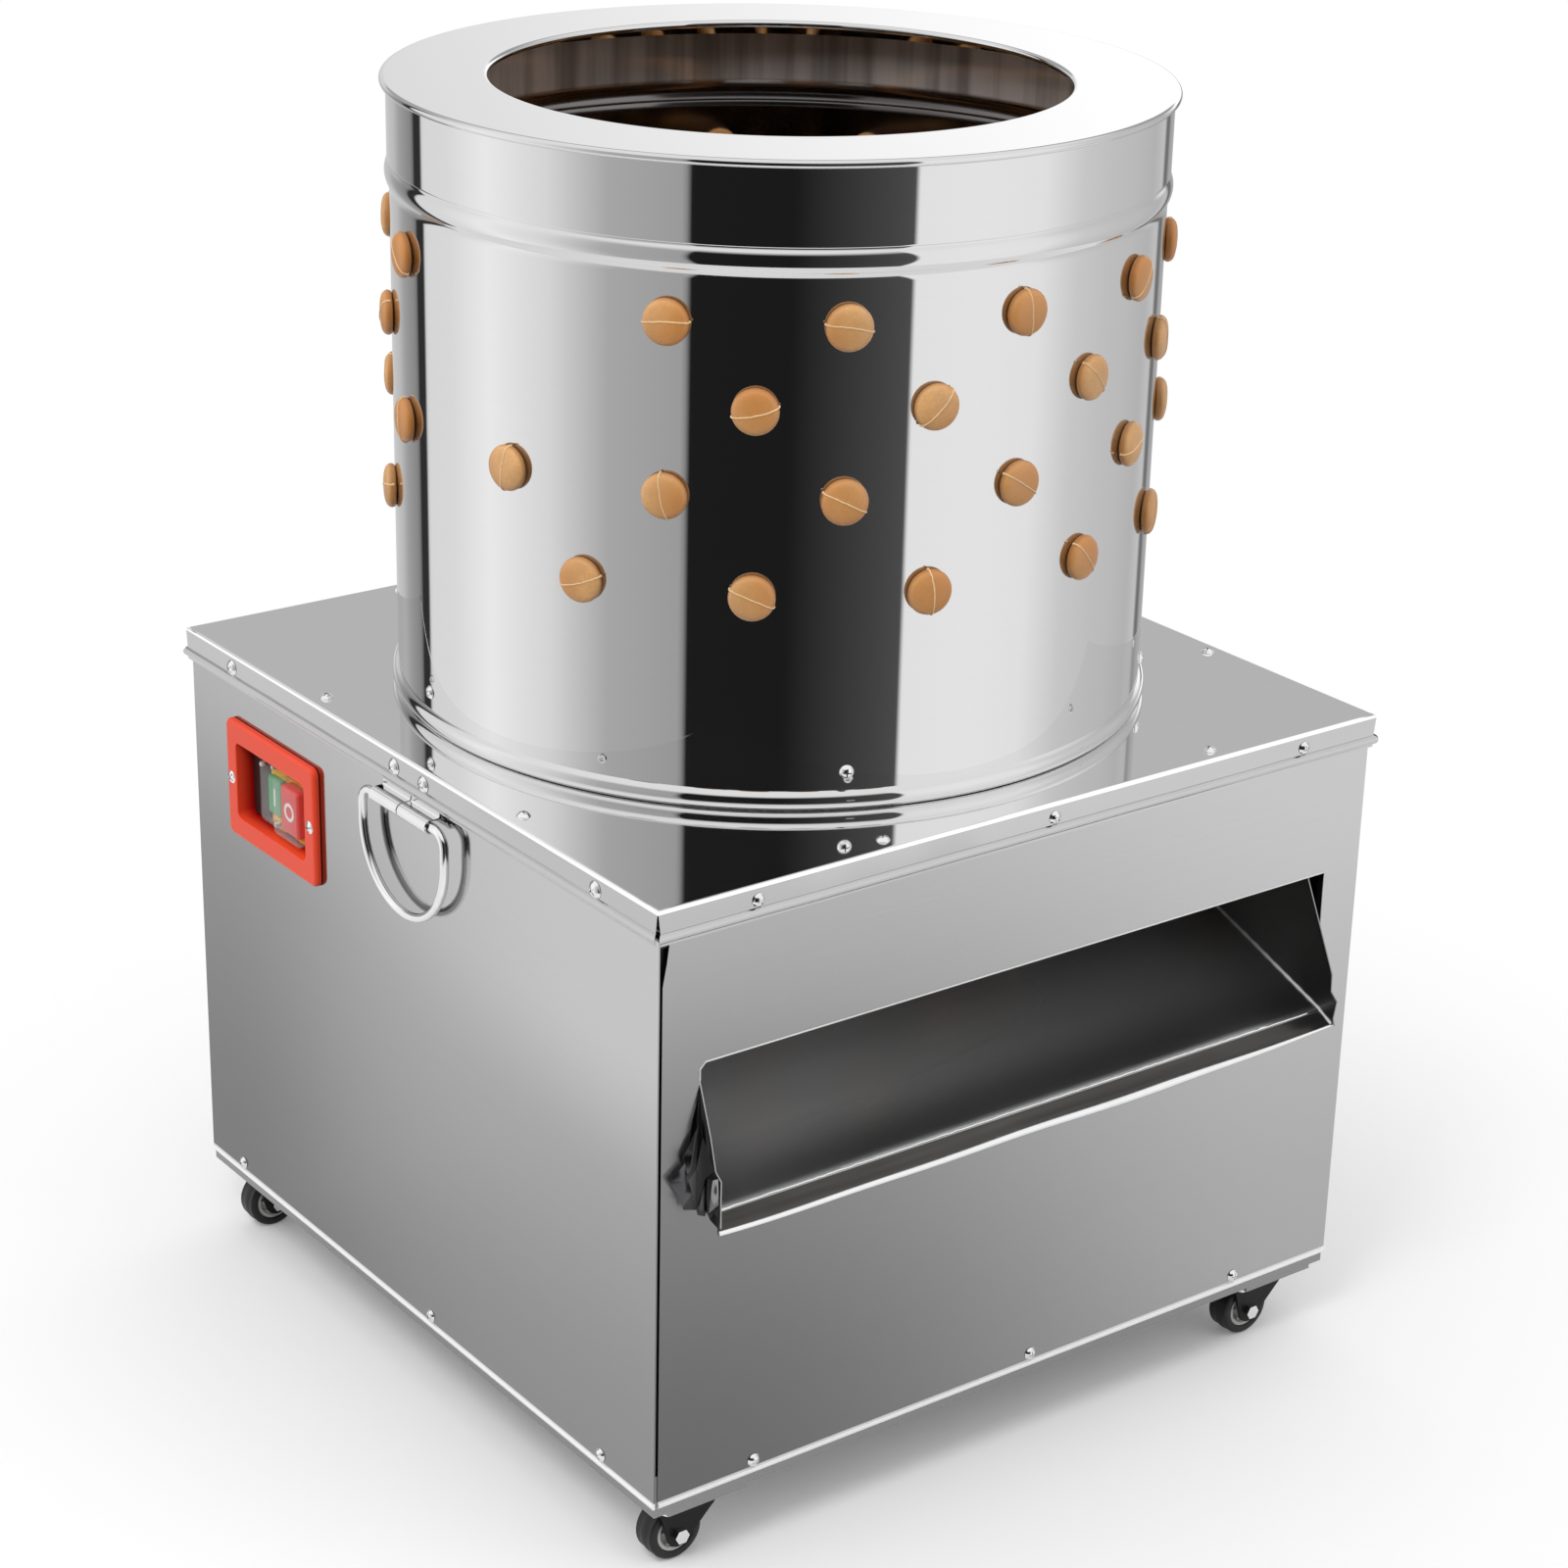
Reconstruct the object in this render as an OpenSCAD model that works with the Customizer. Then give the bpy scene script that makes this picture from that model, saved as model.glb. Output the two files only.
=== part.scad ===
// Drum poultry plucker on a caster cabinet. Millimetres, +Z up, floor at z = 0.
// The chute opens to the front (-Y) and the switch is on the left side (-X).

/* [Cabinet] */
// Outside width across the side panels
cabinet_w = 574; // [560:1:620]
// Outside depth across the front and rear panels
cabinet_d = 574; // [560:1:620]
// Height from the panels' bottom edge to the cover's top
cabinet_h = 408; // [390:1:440]
// Thickness of the panel and cover sheet
sheet = 1; // [0.8:0.1:1.5]
// How far the cover's flat rim stands out from the panels
cover_overhang = 3; // [2.6:0.1:5]
// Height of the flat part of the cover's rim
rim_h = 14.5; // [12:0.5:18]
// Height of the rolled bead below the flat rim
rim_bead_h = 6.5; // [6:0.5:9]
// How far the rolled bead bulges out of the rim
rim_bead_out = 2.5; // [1.5:0.1:3]
// Open seam between the front and the left panel
corner_gap = 2; // [0:0.5:3]
// Height of the frame strip that shows under the panels
strip_h = 7; // [5:1:10]
// Radius of the hem along the panels' bottom edge
hem_r = 2; // [1.5:0.1:2.5]

/* [Frame] */
// Leg of the frame's angle bars
angle_leg = 25; // [22:1:28]
// Thickness of the angle bars
angle_t = 3; // [2:0.5:4]
// Side of the corner plates that carry the casters
corner_plate = 85; // [80:1:100]
// Height of the drive deck's underside
deck_z = 165; // [160:1:190]
// Thickness of the drive deck
deck_t = 6; // [5:1:8]

/* [Casters] */
// Height of a caster from the floor to its mounting face
caster_h = 50; // [48:1:60]
// Diameter of the wheels
wheel_d = 40; // [34:1:42]
// Width of the wheels
wheel_w = 18; // [14:1:20]
// King pin's distance from the side panel's outside
caster_in_x = 42; // [37:1:52]
// King pin's distance from the front or rear panel's outside
caster_in_y = 27; // [27:1:40]
// Distance of the axle behind the king pin
caster_trail = 12; // [10:1:16]
// Width of the mounting plate
caster_plate = 60; // [58:1:64]
// Depth of the mounting plate
caster_plate_d = 52; // [50:1:54]
// Diameter of the king pin
king_pin_d = 10; // [8:1:12]
// Diameter of the axle bolt
axle_d = 6; // [5:1:8]

/* [Drum] */
// Outside diameter of the drum wall
drum_d = 500; // [494:1:506]
// Height from the cover to the top of the feed ring
drum_h = 405; // [380:1:430]
// Thickness of the drum wall
drum_wall = 1.2; // [1:0.1:2]
// Diameter of the feed opening
feed_d = 372.6; // [340:0.2:400]
// Radius of the rolled edges of the feed ring
ring_roll_r = 2.5; // [2:0.1:3]
// Height of the collar band
collar_h = 47; // [40:1:55]
// Height of the bead under the collar
bead_h = 16; // [12:1:18]
// How far that bead bulges out
bead_out = 3; // [2:0.1:4]
// Height of the bead at the drum's foot
foot_bead_h = 13; // [10:1:16]
// How far the foot bead bulges out
foot_bead_out = 4; // [3:0.1:5]
// Height of the spigot ring that centres the drum on the cover
spigot_h = 40; // [36:1:45]
// Diameter of the hole in the cover that feathers fall through
drop_d = 476; // [470:1:480]

/* [Fingers] */
// Finger columns around the drum
finger_columns = 14; // [12:1:15]
// Heights of the finger rows above the cover, lowest first
finger_rows = [139, 199.5, 255, 306];
// Diameter of a finger's head
head_d = 29; // [26:0.5:32]
// Height of a finger's domed head
head_h = 8; // [6:0.5:9]
// Diameter of the finger holes
finger_hole_d = 18; // [16:0.5:20]
// Diameter of the flange that holds a finger from inside
finger_flange_d = 25; // [22:0.5:27]
// Length of a finger from the wall to its tip
finger_l = 78; // [60:1:90]
// Ribs on a finger
finger_ribs = 7; // [4:1:9]

/* [Turntable] */
// Diameter of the turntable
turntable_d = 460; // [440:1:464]
// Thickness of the turntable
turntable_t = 3; // [2:0.5:5]
// Height of the turntable's underside above the cover
turntable_lift = 12; // [10:1:20]
// Diameter of the hub's flange
hub_flange_d = 120; // [100:1:130]
// Diameter of the main shaft
shaft_d = 25; // [20:1:28]
// Outside diameter of the bearings
bearing_d = 52; // [48:1:56]
// Width of the bearings
bearing_w = 15; // [12:1:18]
// Outside diameter of the bearing tube
tube_d = 70; // [64:1:76]

/* [Drive] */
// Pitch diameter of the drive pulley
drive_pulley_d = 210; // [180:1:220]
// Pitch diameter of the motor pulley
motor_pulley_d = 56; // [48:1:70]
// Distance of the motor behind the main shaft
motor_y = 165; // [160:1:185]
// Height of the belt's middle plane
belt_z = 125; // [115:1:135]
// Diameter of the motor's body
motor_d = 136; // [120:1:140]
// Room between the motor's fan cover and the chute above it
motor_room = 20; // [15:1:40]
// Diameter of the motor's shaft
motor_shaft_d = 20; // [16:1:24]

/* [Chute] */
// Height of the chute floor's top face at the front panel, below the cover's top
chute_drop = 191; // [178:1:203]
// Slope of the chute floor in degrees
chute_slope = 19.4; // [17:0.1:19.6]
// How far the right cheek reaches out of the front panel
lip_reach = 35; // [30:1:45]
// How much less the left cheek reaches out
cheek_short = 12; // [8:1:14]
// Where the floor bends down to its lip, in front of the panel
lip_fold = 19; // [15:1:21]
// Room beside the chute, both sides together
chute_side = 77; // [75:1:89]
// Middle of the chute to the right of the drum axis; negative is to the left
chute_x = -6.5; // [-8:0.5:-5]
// Top of the chute's opening below the cover's top
opening_drop = 107.5; // [104:0.5:112]
// Cut corner at the opening's upper left
opening_cut = 4; // [2:0.5:8]
// Bare width of the opening to the right of the chute
opening_spare = 14; // [8:0.5:18]
// Drop of the bent lip
lip_drop = 10; // [6:1:14]

/* [Switch] */
// Middle of the switch behind the drum axis
switch_y = 172; // [165:1:176]
// Middle of the switch below the cover's top
switch_drop = 90.5; // [86:0.5:110]
// Width of the bezel
bezel_w = 122; // [116:1:140]
// Height of the bezel
bezel_h = 86; // [80:1:96]
// Thickness of the bezel in front of the panel
bezel_t = 5; // [4:0.5:8]
// Width of the recess
recess_w = 94; // [90:1:96]
// Height of the recess
recess_h = 55; // [53:1:60]
// Depth of the recess from the bezel's front
recess_depth = 15; // [14:1:20]
// Travel of both push buttons
button_travel = 4; // [2:0.5:5]

/* [Handles] */
// Diameter of the handle wire
wire_d = 6; // [5:0.5:7]
// Outside width of a handle ring
handle_w = 107; // [100:1:120]
// Outside height of a handle ring
handle_h = 78; // [76:1:90]
// Height of the handle's bar below the cover's top
handle_drop = 32; // [31:1:36]
// Distance of the bar from the panel
handle_off = 8; // [7:0.5:10]
// Middle of the handles behind the drum axis
handle_y = -11; // [-20:1:0]
// Width of a strap clip
strap_w = 34; // [28:1:35]
// Thickness of the strap clips
strap_t = 1.5; // [1:0.1:1.6]

/* [Fasteners] */
// Diameter of a sheet screw's head
screw_head_d = 9; // [8:0.5:9.5]
// Height of a sheet screw's head
screw_head_h = 3; // [2:0.5:3.5]
// Diameter of a sheet screw's shank
screw_d = 4.4; // [3.6:0.2:5]
// Diameter of a frame bolt
bolt_d = 8; // [6:0.5:8]

/* [Clearances] */
// Gap between pieces that move past each other
run_gap = 0.3; // [0.2:0.05:0.5]
// Radial room of a shaft in its bore
fit_gap = 0.03; // [0.02:0.01:0.05]
// Radial room of a fastener in its hole
hole_gap = 0.4; // [0.3:0.1:0.6]
// Gap between fixed pieces that are seated on each other
seat_gap = 0.1; // [0.05:0.05:0.2]

/* [Hidden] */
$fn = 64;
half_w = cabinet_w/2;
half_d = cabinet_d/2;
frame_w = half_w - sheet;
frame_d = half_d - sheet;
cover_w = half_w + cover_overhang;
cover_d = half_d + cover_overhang;
panel_z = caster_h + strip_h;
cover_z = panel_z + cabinet_h;
under_cover = cover_z - sheet;
lid_z = cover_z + drum_h;
drum_r = drum_d/2;
over = 1;

// The part's own middle lies between the lip and the cable gland
gland_reach = 15;
gland_in = 87;
gland_under_deck = 50;
gland_at = [gland_in - half_w, deck_z - gland_under_deck];
gland_bore_r = 5;
gland_r = 11;
axis_y = (lip_reach - gland_reach)/2;

// Frame
base_leg = angle_leg + 5;
post_w = frame_w - angle_t;
post_d = frame_d - angle_t;
deck_top = deck_z + deck_t;
deck_front = 110;
deck_rear = 250;
rail_bolt_y = [-90, 225];

// Sheet screws: place on the surface and turn from +Z to the outward normal
front_turn = [90, 0, 0];
rear_turn = [-90, 0, 0];
left_turn = [0, -90, 0];
right_turn = [0, 90, 0];
screw_l = 11;
rim_screw_z = cover_z - rim_h + screw_head_d/2 + 0.2;
cover_screw_in = 13;
bottom_screw_z = panel_z + 2*hem_r + 5;
handle_screw_y = [handle_y - strap_w/2 - 1, handle_y + strap_w/2 + 1];
side_rim_y = concat([-0.784*half_d, 0.777*half_d], handle_screw_y);
rim_screws = concat(
    [for (x = [-0.76, 0.035, 0.78]) [[x*half_w, -cover_d, rim_screw_z], front_turn]],
    [for (x = [-0.76, 0, 0.76]) [[x*half_w, cover_d, rim_screw_z], rear_turn]],
    [for (y = side_rim_y) [[-cover_w, y, rim_screw_z], left_turn]],
    [for (y = side_rim_y) [[cover_w, y, rim_screw_z], right_turn]]);
top_screws = concat(
    [for (x = [-0.404, 0.526]) [[x*half_w, cover_screw_in - cover_d, cover_z], [0, 0, 0]]],
    [for (x = [-0.436, 0.436]) [[x*half_w, cover_d - cover_screw_in, cover_z], [0, 0, 0]]],
    [for (y = [-0.439, 0.404]) [[cover_screw_in - cover_w, y*half_d, cover_z], [0, 0, 0]]],
    [for (y = [-0.481, 0.404]) [[cover_w - cover_screw_in, y*half_d, cover_z], [0, 0, 0]]]);
bottom_screws = concat(
    [for (x = [-0.735, 0.056, 0.693]) [[x*half_w, -half_d, bottom_screw_z], front_turn]],
    [for (x = [-0.714, 0, 0.714]) [[x*half_w, half_d, bottom_screw_z], rear_turn]],
    [for (y = [-0.794, -0.077, 0.836]) [[-half_w, y*half_d, bottom_screw_z], left_turn]],
    [for (y = [-0.794, 0, 0.794]) [[half_w, y*half_d, bottom_screw_z], right_turn]]);
drum_screw_z = cover_z + 25;
drum_screw_l = 5;
drum_screw_count = 5;
drum_screw_turn = -43;
drum_screws = [for (i = [0:drum_screw_count - 1])
    let (a = drum_screw_turn + 360*i/drum_screw_count)
    [[(drum_r + 0.1)*cos(a), (drum_r + 0.1)*sin(a), drum_screw_z], [0, 90, a]]];
bezel_screw_y = (bezel_w + recess_w)/4;
bezel_pocket = 1.5;
bezel_screws = [for (s = [-1, 1])
    [[bezel_pocket - bezel_t - half_w, switch_y + s*bezel_screw_y, cover_z - switch_drop], left_turn]];

// Drum and feed ring
ring_sheet = 1.5;
skirt_h = 20;
shell_top = lid_z - ring_sheet - run_gap;
collar_top = lid_z - 2*ring_roll_r;
collar_z = collar_top - collar_h;
bead_z = collar_z - bead_h/2 - 0.5;
spigot_r = drum_r - drum_wall - 0.2;

// Finger places: [azimuth, height above the cover]; four places stay bare
column_step = 360/finger_columns;
first_column = -64.4;
bare_fingers = [[4, 3], [4, 2], [3, 2], [4, 0]];
drum_places = [for (row = [0:len(finger_rows) - 1], k = [0:finger_columns - 1])
    if (len([for (b = bare_fingers) if (b == [k, row]) b]) == 0)
    [first_column - column_step*(k + (row % 2 == 0 ? 0.5 : 0)), finger_rows[row]]];
finger_neck_r = finger_hole_d/2 - run_gap;
flange_gap = 0.45;

// Turntable and shaft
turntable_z = cover_z + turntable_lift;
turntable_top = turntable_z + turntable_t;
table_rings = [[85, 5], [140, 9], [195, 13]];
table_places = [for (ring = table_rings, k = [0:ring[1] - 1])
    let (a = 360*k/ring[1] + ring[0]) [ring[0]*cos(a), ring[0]*sin(a)]];
hub_flange_t = 8;
hub_boss_r = shaft_d/2 + 9.5;
hub_bolt_r = hub_flange_d/2 - 16;
hub_bolt_count = 6;
hub_places = [for (i = [0:hub_bolt_count - 1])
    [hub_bolt_r*cos(360*i/hub_bolt_count), hub_bolt_r*sin(360*i/hub_bolt_count)]];
shaft_r = shaft_d/2;
shaft_end_r = shaft_r - 2.5;
shaft_bottom = belt_z - 25;
nut_h = 12;
washer_t = 3;
tube_top = turntable_z - hub_flange_t - 43;
seal_h = 8;
bearing_r = bearing_d/2;
inner_race_r = (shaft_r + bearing_r)/2;
upper_bearing_z = tube_top - seal_h - bearing_w;
tube_flange_r = tube_d/2 + 30;
tube_flange_t = 10;
tube_bolt_r = tube_d/2 + 18;
hub_z = tube_top + 6;

// V-belt and pulleys, measured from the belt's pitch line
belt_top = 13;
belt_out = 3;
belt_in = 5;
belt_flank = 17;
belt_gap = 0.25;
belt_half_inner = belt_top/2 - (belt_in + belt_out)*tan(belt_flank);
drive_r = drive_pulley_d/2;
motor_r = motor_pulley_d/2;
belt_tilt = asin((drive_r - motor_r)/motor_y);
belt_steps = 40;
pulley_edge = belt_out + 0.5;
groove_in = belt_in + 2;
pulley_w = 22;

// Chute
chute_z = cover_z - chute_drop;
chute_w = cabinet_w - chute_side;
chute_left = chute_x - chute_w/2;
chute_right = chute_x + chute_w/2;
chute_sheet = 1.2;
chute_rear = drop_d/2 + 2;
opening_top = cover_z - opening_drop;
opening_left = chute_left - chute_sheet - run_gap;
opening_right = chute_right + opening_spare;
opening_bottom = chute_z - chute_sheet/cos(chute_slope) - run_gap;
cheek_inner = 46;
cheek_gap = 1.5;
cheek_nose = [[0, 18], [6, 23]];
cheek_foot = [9, 2];
pipe_t = 2;
pipe_top = tube_top - 16;
ear_w = 28;
ear_h = 48;
ear_off = 10;
ear_foot = 8;
function floor_z(y) = chute_z + (y + half_d)*tan(chute_slope);

// Motor
motor_shaft_r = motor_shaft_d/2;
motor_flange_r = motor_d/2 + 14;
motor_flange_t = 12;
motor_base = deck_top + motor_flange_t;
motor_bolt_r = motor_d/2 + 2;
neck_h = 20;
fin_count = 20;
fin_out = 7;
fan_cover_h = 42;
fan_cover_t = 2;
fan_cover_r = motor_d/2 + fin_out;
motor_top = floor_z(motor_y - fan_cover_r) - motor_room - fan_cover_h;
motor_l = motor_top - motor_base;
shield_h = 8;
fan_z = motor_top + shield_h + 4;
fan_h = 14;
fan_hub_r = motor_shaft_r + 10;
terminal_w = 70;
terminal_h = 60;
terminal_d = 38;
terminal_z = motor_base + 45;
pad_x = fan_cover_r + 4;

// Frame bolts: [x, y, z of the upper face, z of the lower face]
bolt_r = bolt_d/2;
bolt_head_h = 5.5;
bolt_head_r = bolt_r + 3.5;
caster_bolt_in = [caster_plate/2 - 8, caster_plate_d/2 - 14];
caster_x = half_w - caster_in_x;
caster_y = half_d - caster_in_y;
caster_at = [[-caster_x, -caster_y], [caster_x, -caster_y],
    [-caster_x, caster_y], [caster_x, caster_y]];
caster_plate_t = 3;
frame_bolt_places = concat(
    [for (a = [45:90:315])
        [motor_bolt_r*cos(a), motor_y + motor_bolt_r*sin(a), motor_base, deck_z]],
    [for (a = [45:90:315]) [tube_bolt_r*cos(a), tube_bolt_r*sin(a), deck_top + tube_flange_t, deck_z]],
    [for (s = [-1, 1], y = rail_bolt_y) [s*(post_w - angle_leg/2 - 2), y, deck_top, deck_z - angle_t]],
    [for (c = caster_at, sx = [-1, 1], sy = [-1, 1])
        [c[0] + sx*caster_bolt_in[0], c[1] + sy*caster_bolt_in[1], caster_h + angle_t,
            caster_h - caster_plate_t]]);

// Switch, along x from the bezel's front to the inside
switch_z = cover_z - switch_drop;
bezel_wall = 2.5;
recess_back = recess_depth - bezel_t - half_w;
body_flange_t = 3;
plate_t = 1.5;
plate_w = 74;
plate_shift = -9;
plate_h = 50;
start_y = 5;
stop_y = -24;
button_w = [20, 24];
button_h = [28, 34];
button_out = [4, 9];
body_w = 78;
body_h = 44;
body_depth = 36;
pocket_depth = 14;
boot_t = 1;
boot_room = 2.5;

// Handles
bar_z = cover_z - handle_drop;
wire_r = wire_d/2;
bend_r = handle_w/2 - wire_r;
corner_r = 10;
handle_leg = handle_h - wire_d - bend_r;
loop_r = wire_r + run_gap;
strap_y = [handle_y - strap_w/2 - 0.5, handle_y + strap_w/2 + 0.5];
tab_off = 0.2;
tab_top = cover_z - 3;

// Casters
wheel_r = wheel_d/2;
rim_r = wheel_r - 6;
king_pin_r = king_pin_d/2;
axle_r = axle_d/2;
race_t = 2;
bridge_t = 2.5;
bridge_top = caster_h - caster_plate_t - run_gap - race_t;
bridge_z = bridge_top - bridge_t;
fork_gap = 1;
fork_t = 2.5;
fork_in = wheel_w/2 + fork_gap;
bridge_half = 11.5;
shoulder_z = bridge_top - 4;
fork_front = 20;
fork_rear = 27;
fork_eye_r = 9;

// Everything below is drawn around the drum axis, then set on the part's own middle
module on_axis() translate([0, axis_y, 0]) children();

module block(lo, hi) translate(lo) cube(hi - lo);

module ring(r_out, r_in, h) {
    difference() {
        cylinder(r = r_out, h = h);
        translate([0, 0, -over]) cylinder(r = r_in, h = h + 2*over);
    }
}

// Upright wall of a rectangular frame, of outer half sizes w and d
module frame_wall(w, d, t, z, h) {
    difference() {
        block([-w, -d, z], [w, d, z + h]);
        block([t - w, t - d, z - over], [w - t, d - t, z + h + over]);
    }
}

module place(spots) for (s = spots) translate(s[0]) rotate(s[1]) children();

// Profile drawn in y and z, drawn out along x
module along_x(x, l) translate([x, 0, 0]) rotate([90, 0, 90]) linear_extrude(l) children();

// Profile drawn in x and z, drawn out along y
module along_y(y, l) translate([0, y + l, 0]) rotate([90, 0, 0]) linear_extrude(l) children();

module screw_hole() cylinder(r = screw_d/2 + hole_gap, h = 4*screw_l, center = true);

module pan_screw(l) {
    dome_r = (pow(screw_head_d/2, 2) + pow(screw_head_h, 2))/(2*screw_head_h);
    rotate_extrude() {
        intersection() {
            translate([0, screw_head_h - dome_r]) circle(r = dome_r);
            square([screw_head_d/2, screw_head_h]);
        }
        translate([0, -l]) square([screw_d/2, l + over/2]);
    }
}

module hex_bolt(z_top, z_bottom) {
    translate([0, 0, z_bottom]) cylinder(r = bolt_r, h = z_top - z_bottom);
    translate([0, 0, z_top]) cylinder(r = bolt_head_r, h = bolt_head_h, $fn = 6);
    translate([0, 0, z_bottom - bolt_head_h]) cylinder(r = bolt_head_r, h = bolt_head_h, $fn = 6);
}

module bolt_holes() {
    for (b = frame_bolt_places) {
        translate([b[0], b[1], b[3] - over]) cylinder(r = bolt_r + hole_gap, h = b[2] - b[3] + 2*over);
    }
}

// Frame

module base_frame() color("dimgray") on_axis() difference() {
    union() {
        frame_wall(frame_w, frame_d, angle_t, caster_h, base_leg);
        frame_wall(frame_w, frame_d, base_leg, caster_h, angle_t);
        for (sx = [0, 1], sy = [0, 1]) mirror([sx, 0, 0]) mirror([0, sy, 0])
            block([frame_w - corner_plate, frame_d - corner_plate, caster_h],
                [frame_w - over, frame_d - over, caster_h + angle_t]);
    }
    place(bottom_screws) screw_hole();
    bolt_holes();
}

module corner_post() {
    post_z = caster_h + angle_t;
    post_top = under_cover - angle_t;
    difference() {
        block([post_w - angle_leg, post_d - angle_leg, post_z], [post_w, post_d, post_top]);
        block([post_w - angle_leg - over, post_d - angle_leg - over, post_z - over],
            [post_w - angle_t, post_d - angle_t, post_top + over]);
    }
}

module side_rail() difference() {
    block([post_w - angle_leg, angle_leg + run_gap - post_d, deck_z - angle_leg],
        [post_w, post_d - angle_leg - run_gap, deck_z]);
    block([post_w - angle_leg - over, -post_d, deck_z - angle_leg - over],
        [post_w - angle_t, post_d, deck_z - angle_t]);
}

module frame_uprights() color("dimgray") on_axis() difference() {
    union() {
        for (sx = [0, 1], sy = [0, 1]) mirror([sx, 0, 0]) mirror([0, sy, 0]) corner_post();
        for (sx = [0, 1]) mirror([sx, 0, 0]) side_rail();
    }
    bolt_holes();
}

module top_frame() color("dimgray") on_axis() difference() {
    union() {
        frame_wall(frame_w, frame_d, angle_t, under_cover - angle_leg, angle_leg);
        frame_wall(frame_w, frame_d, angle_leg, under_cover - angle_t, angle_t);
    }
    place(rim_screws) screw_hole();
    place(top_screws) screw_hole();
}

module drive_deck() color("slategray") on_axis() difference() {
    block([-post_w + angle_t + over, -deck_front, deck_z],
        [post_w - angle_t - over, deck_rear, deck_top]);
    translate([0, 0, deck_z - over]) cylinder(r = inner_race_r + 2, h = deck_t + 2*over);
    translate([0, motor_y, deck_z - over]) cylinder(r = motor_shaft_r + 12, h = deck_t + 2*over);
    bolt_holes();
}

// Cabinet skin

module hem_x(w, y) along_x(-w, 2*w) translate([y, panel_z + hem_r]) circle(r = hem_r);

module hem_y(d, x) along_y(-d, 2*d) translate([x, panel_z + hem_r]) circle(r = hem_r);

// Front or rear sheet, between the side panels, hemmed along its bottom
module end_sheet(side) {
    y_out = side*half_d;
    y_in = side*frame_d;
    difference() {
        union() {
            block([-frame_w, min(y_out, y_in), panel_z], [frame_w, max(y_out, y_in), under_cover]);
            hem_x(frame_w, side*(half_d - sheet/2));
        }
        block([-frame_w - over, min(0, y_in), panel_z - over],
            [frame_w + over, max(0, y_in), under_cover]);
        place(rim_screws) screw_hole();
        place(bottom_screws) screw_hole();
    }
}

module side_sheet(side) {
    x_out = side*half_w;
    x_in = side*frame_w;
    difference() {
        union() {
            block([min(x_out, x_in), -half_d, panel_z], [max(x_out, x_in), half_d, under_cover]);
            hem_y(half_d, side*(half_w - sheet/2));
        }
        block([min(0, x_in), -half_d - over, panel_z - over], [max(0, x_in), half_d + over, under_cover]);
        place(rim_screws) screw_hole();
        place(bottom_screws) screw_hole();
    }
}

module front_panel() color("silver") on_axis() {
    notch_top = cover_z - rim_h - rim_bead_h;
    notch_w = 7;
    notch_h = 30;
    difference() {
        end_sheet(-1);
        along_y(-half_d - over, sheet + 2*over) polygon([
            [opening_left, opening_bottom], [opening_right, opening_bottom], [opening_right, opening_top],
            [opening_left + opening_cut, opening_top], [opening_left, opening_top - opening_cut]]);
        along_y(-half_d - 2*hem_r, sheet + 3*hem_r) polygon([
            [-frame_w - over, notch_top], [notch_w - frame_w, notch_top],
            [0.7*notch_w - frame_w, notch_top - notch_h/2], [corner_gap - frame_w, notch_top - notch_h],
            [corner_gap - frame_w, panel_z - over], [-frame_w - over, panel_z - over]]);
    }
}

module rear_panel() color("silver") on_axis() difference() {
    end_sheet(1);
    translate([gland_at[0], half_d + over, gland_at[1]]) rotate([90, 0, 0])
        cylinder(r = gland_bore_r + 2.5 + hole_gap, h = sheet + 2*over);
}

module left_panel() color("silver") on_axis() difference() {
    side_sheet(-1);
    block([-half_w - over, switch_y - recess_w/2 - bezel_wall - run_gap,
            switch_z - recess_h/2 - bezel_wall - run_gap],
        [over - frame_w, switch_y + recess_w/2 + bezel_wall + run_gap,
            switch_z + recess_h/2 + bezel_wall + run_gap]);
    place(bezel_screws) screw_hole();
}

module right_panel() color("silver") on_axis() side_sheet(1);

// Flat rim with a bead rolled out of it, for a side at distance out from the middle
module rim_profile(out) {
    r = (pow(rim_bead_h/2, 2) + pow(rim_bead_out, 2))/(2*rim_bead_out);
    bead_at = [out + rim_bead_out - r, cover_z - rim_h - rim_bead_h/2];
    difference() {
        union() {
            translate([out - sheet, cover_z - rim_h - rim_bead_h]) square([sheet, rim_h + rim_bead_h]);
            intersection() {
                translate(bead_at) circle(r = r);
                translate([out - sheet, cover_z - 2*rim_h]) square([2*r, 2*rim_h]);
            }
        }
        translate(bead_at) circle(r = r - sheet);
    }
}

module top_cover() color("silver") on_axis() difference() {
    union() {
        block([-cover_w, -cover_d, under_cover], [cover_w, cover_d, cover_z]);
        for (turn = [0, 180]) {
            rotate([0, 0, turn]) along_y(-cover_d, 2*cover_d) rim_profile(cover_w);
            rotate([0, 0, turn + 90]) along_y(-cover_w, 2*cover_w) rim_profile(cover_d);
        }
        translate([0, 0, under_cover]) cylinder(r = spigot_r, h = spigot_h + sheet);
    }
    translate([0, 0, cover_z]) cylinder(r = spigot_r - drum_wall, h = spigot_h + over);
    translate([0, 0, under_cover - over]) cylinder(d = drop_d, h = sheet + 2*over);
    place(rim_screws) screw_hole();
    place(top_screws) screw_hole();
    place(drum_screws) screw_hole();
}

module sheet_screws() color("whitesmoke") on_axis() {
    place(concat(rim_screws, top_screws, bottom_screws, bezel_screws)) pan_screw(screw_l);
    place(drum_screws) pan_screw(drum_screw_l);
}

module frame_bolts() color("gray") on_axis() {
    for (b = frame_bolt_places) translate([b[0], b[1], 0]) hex_bolt(b[2], b[3]);
}

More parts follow.
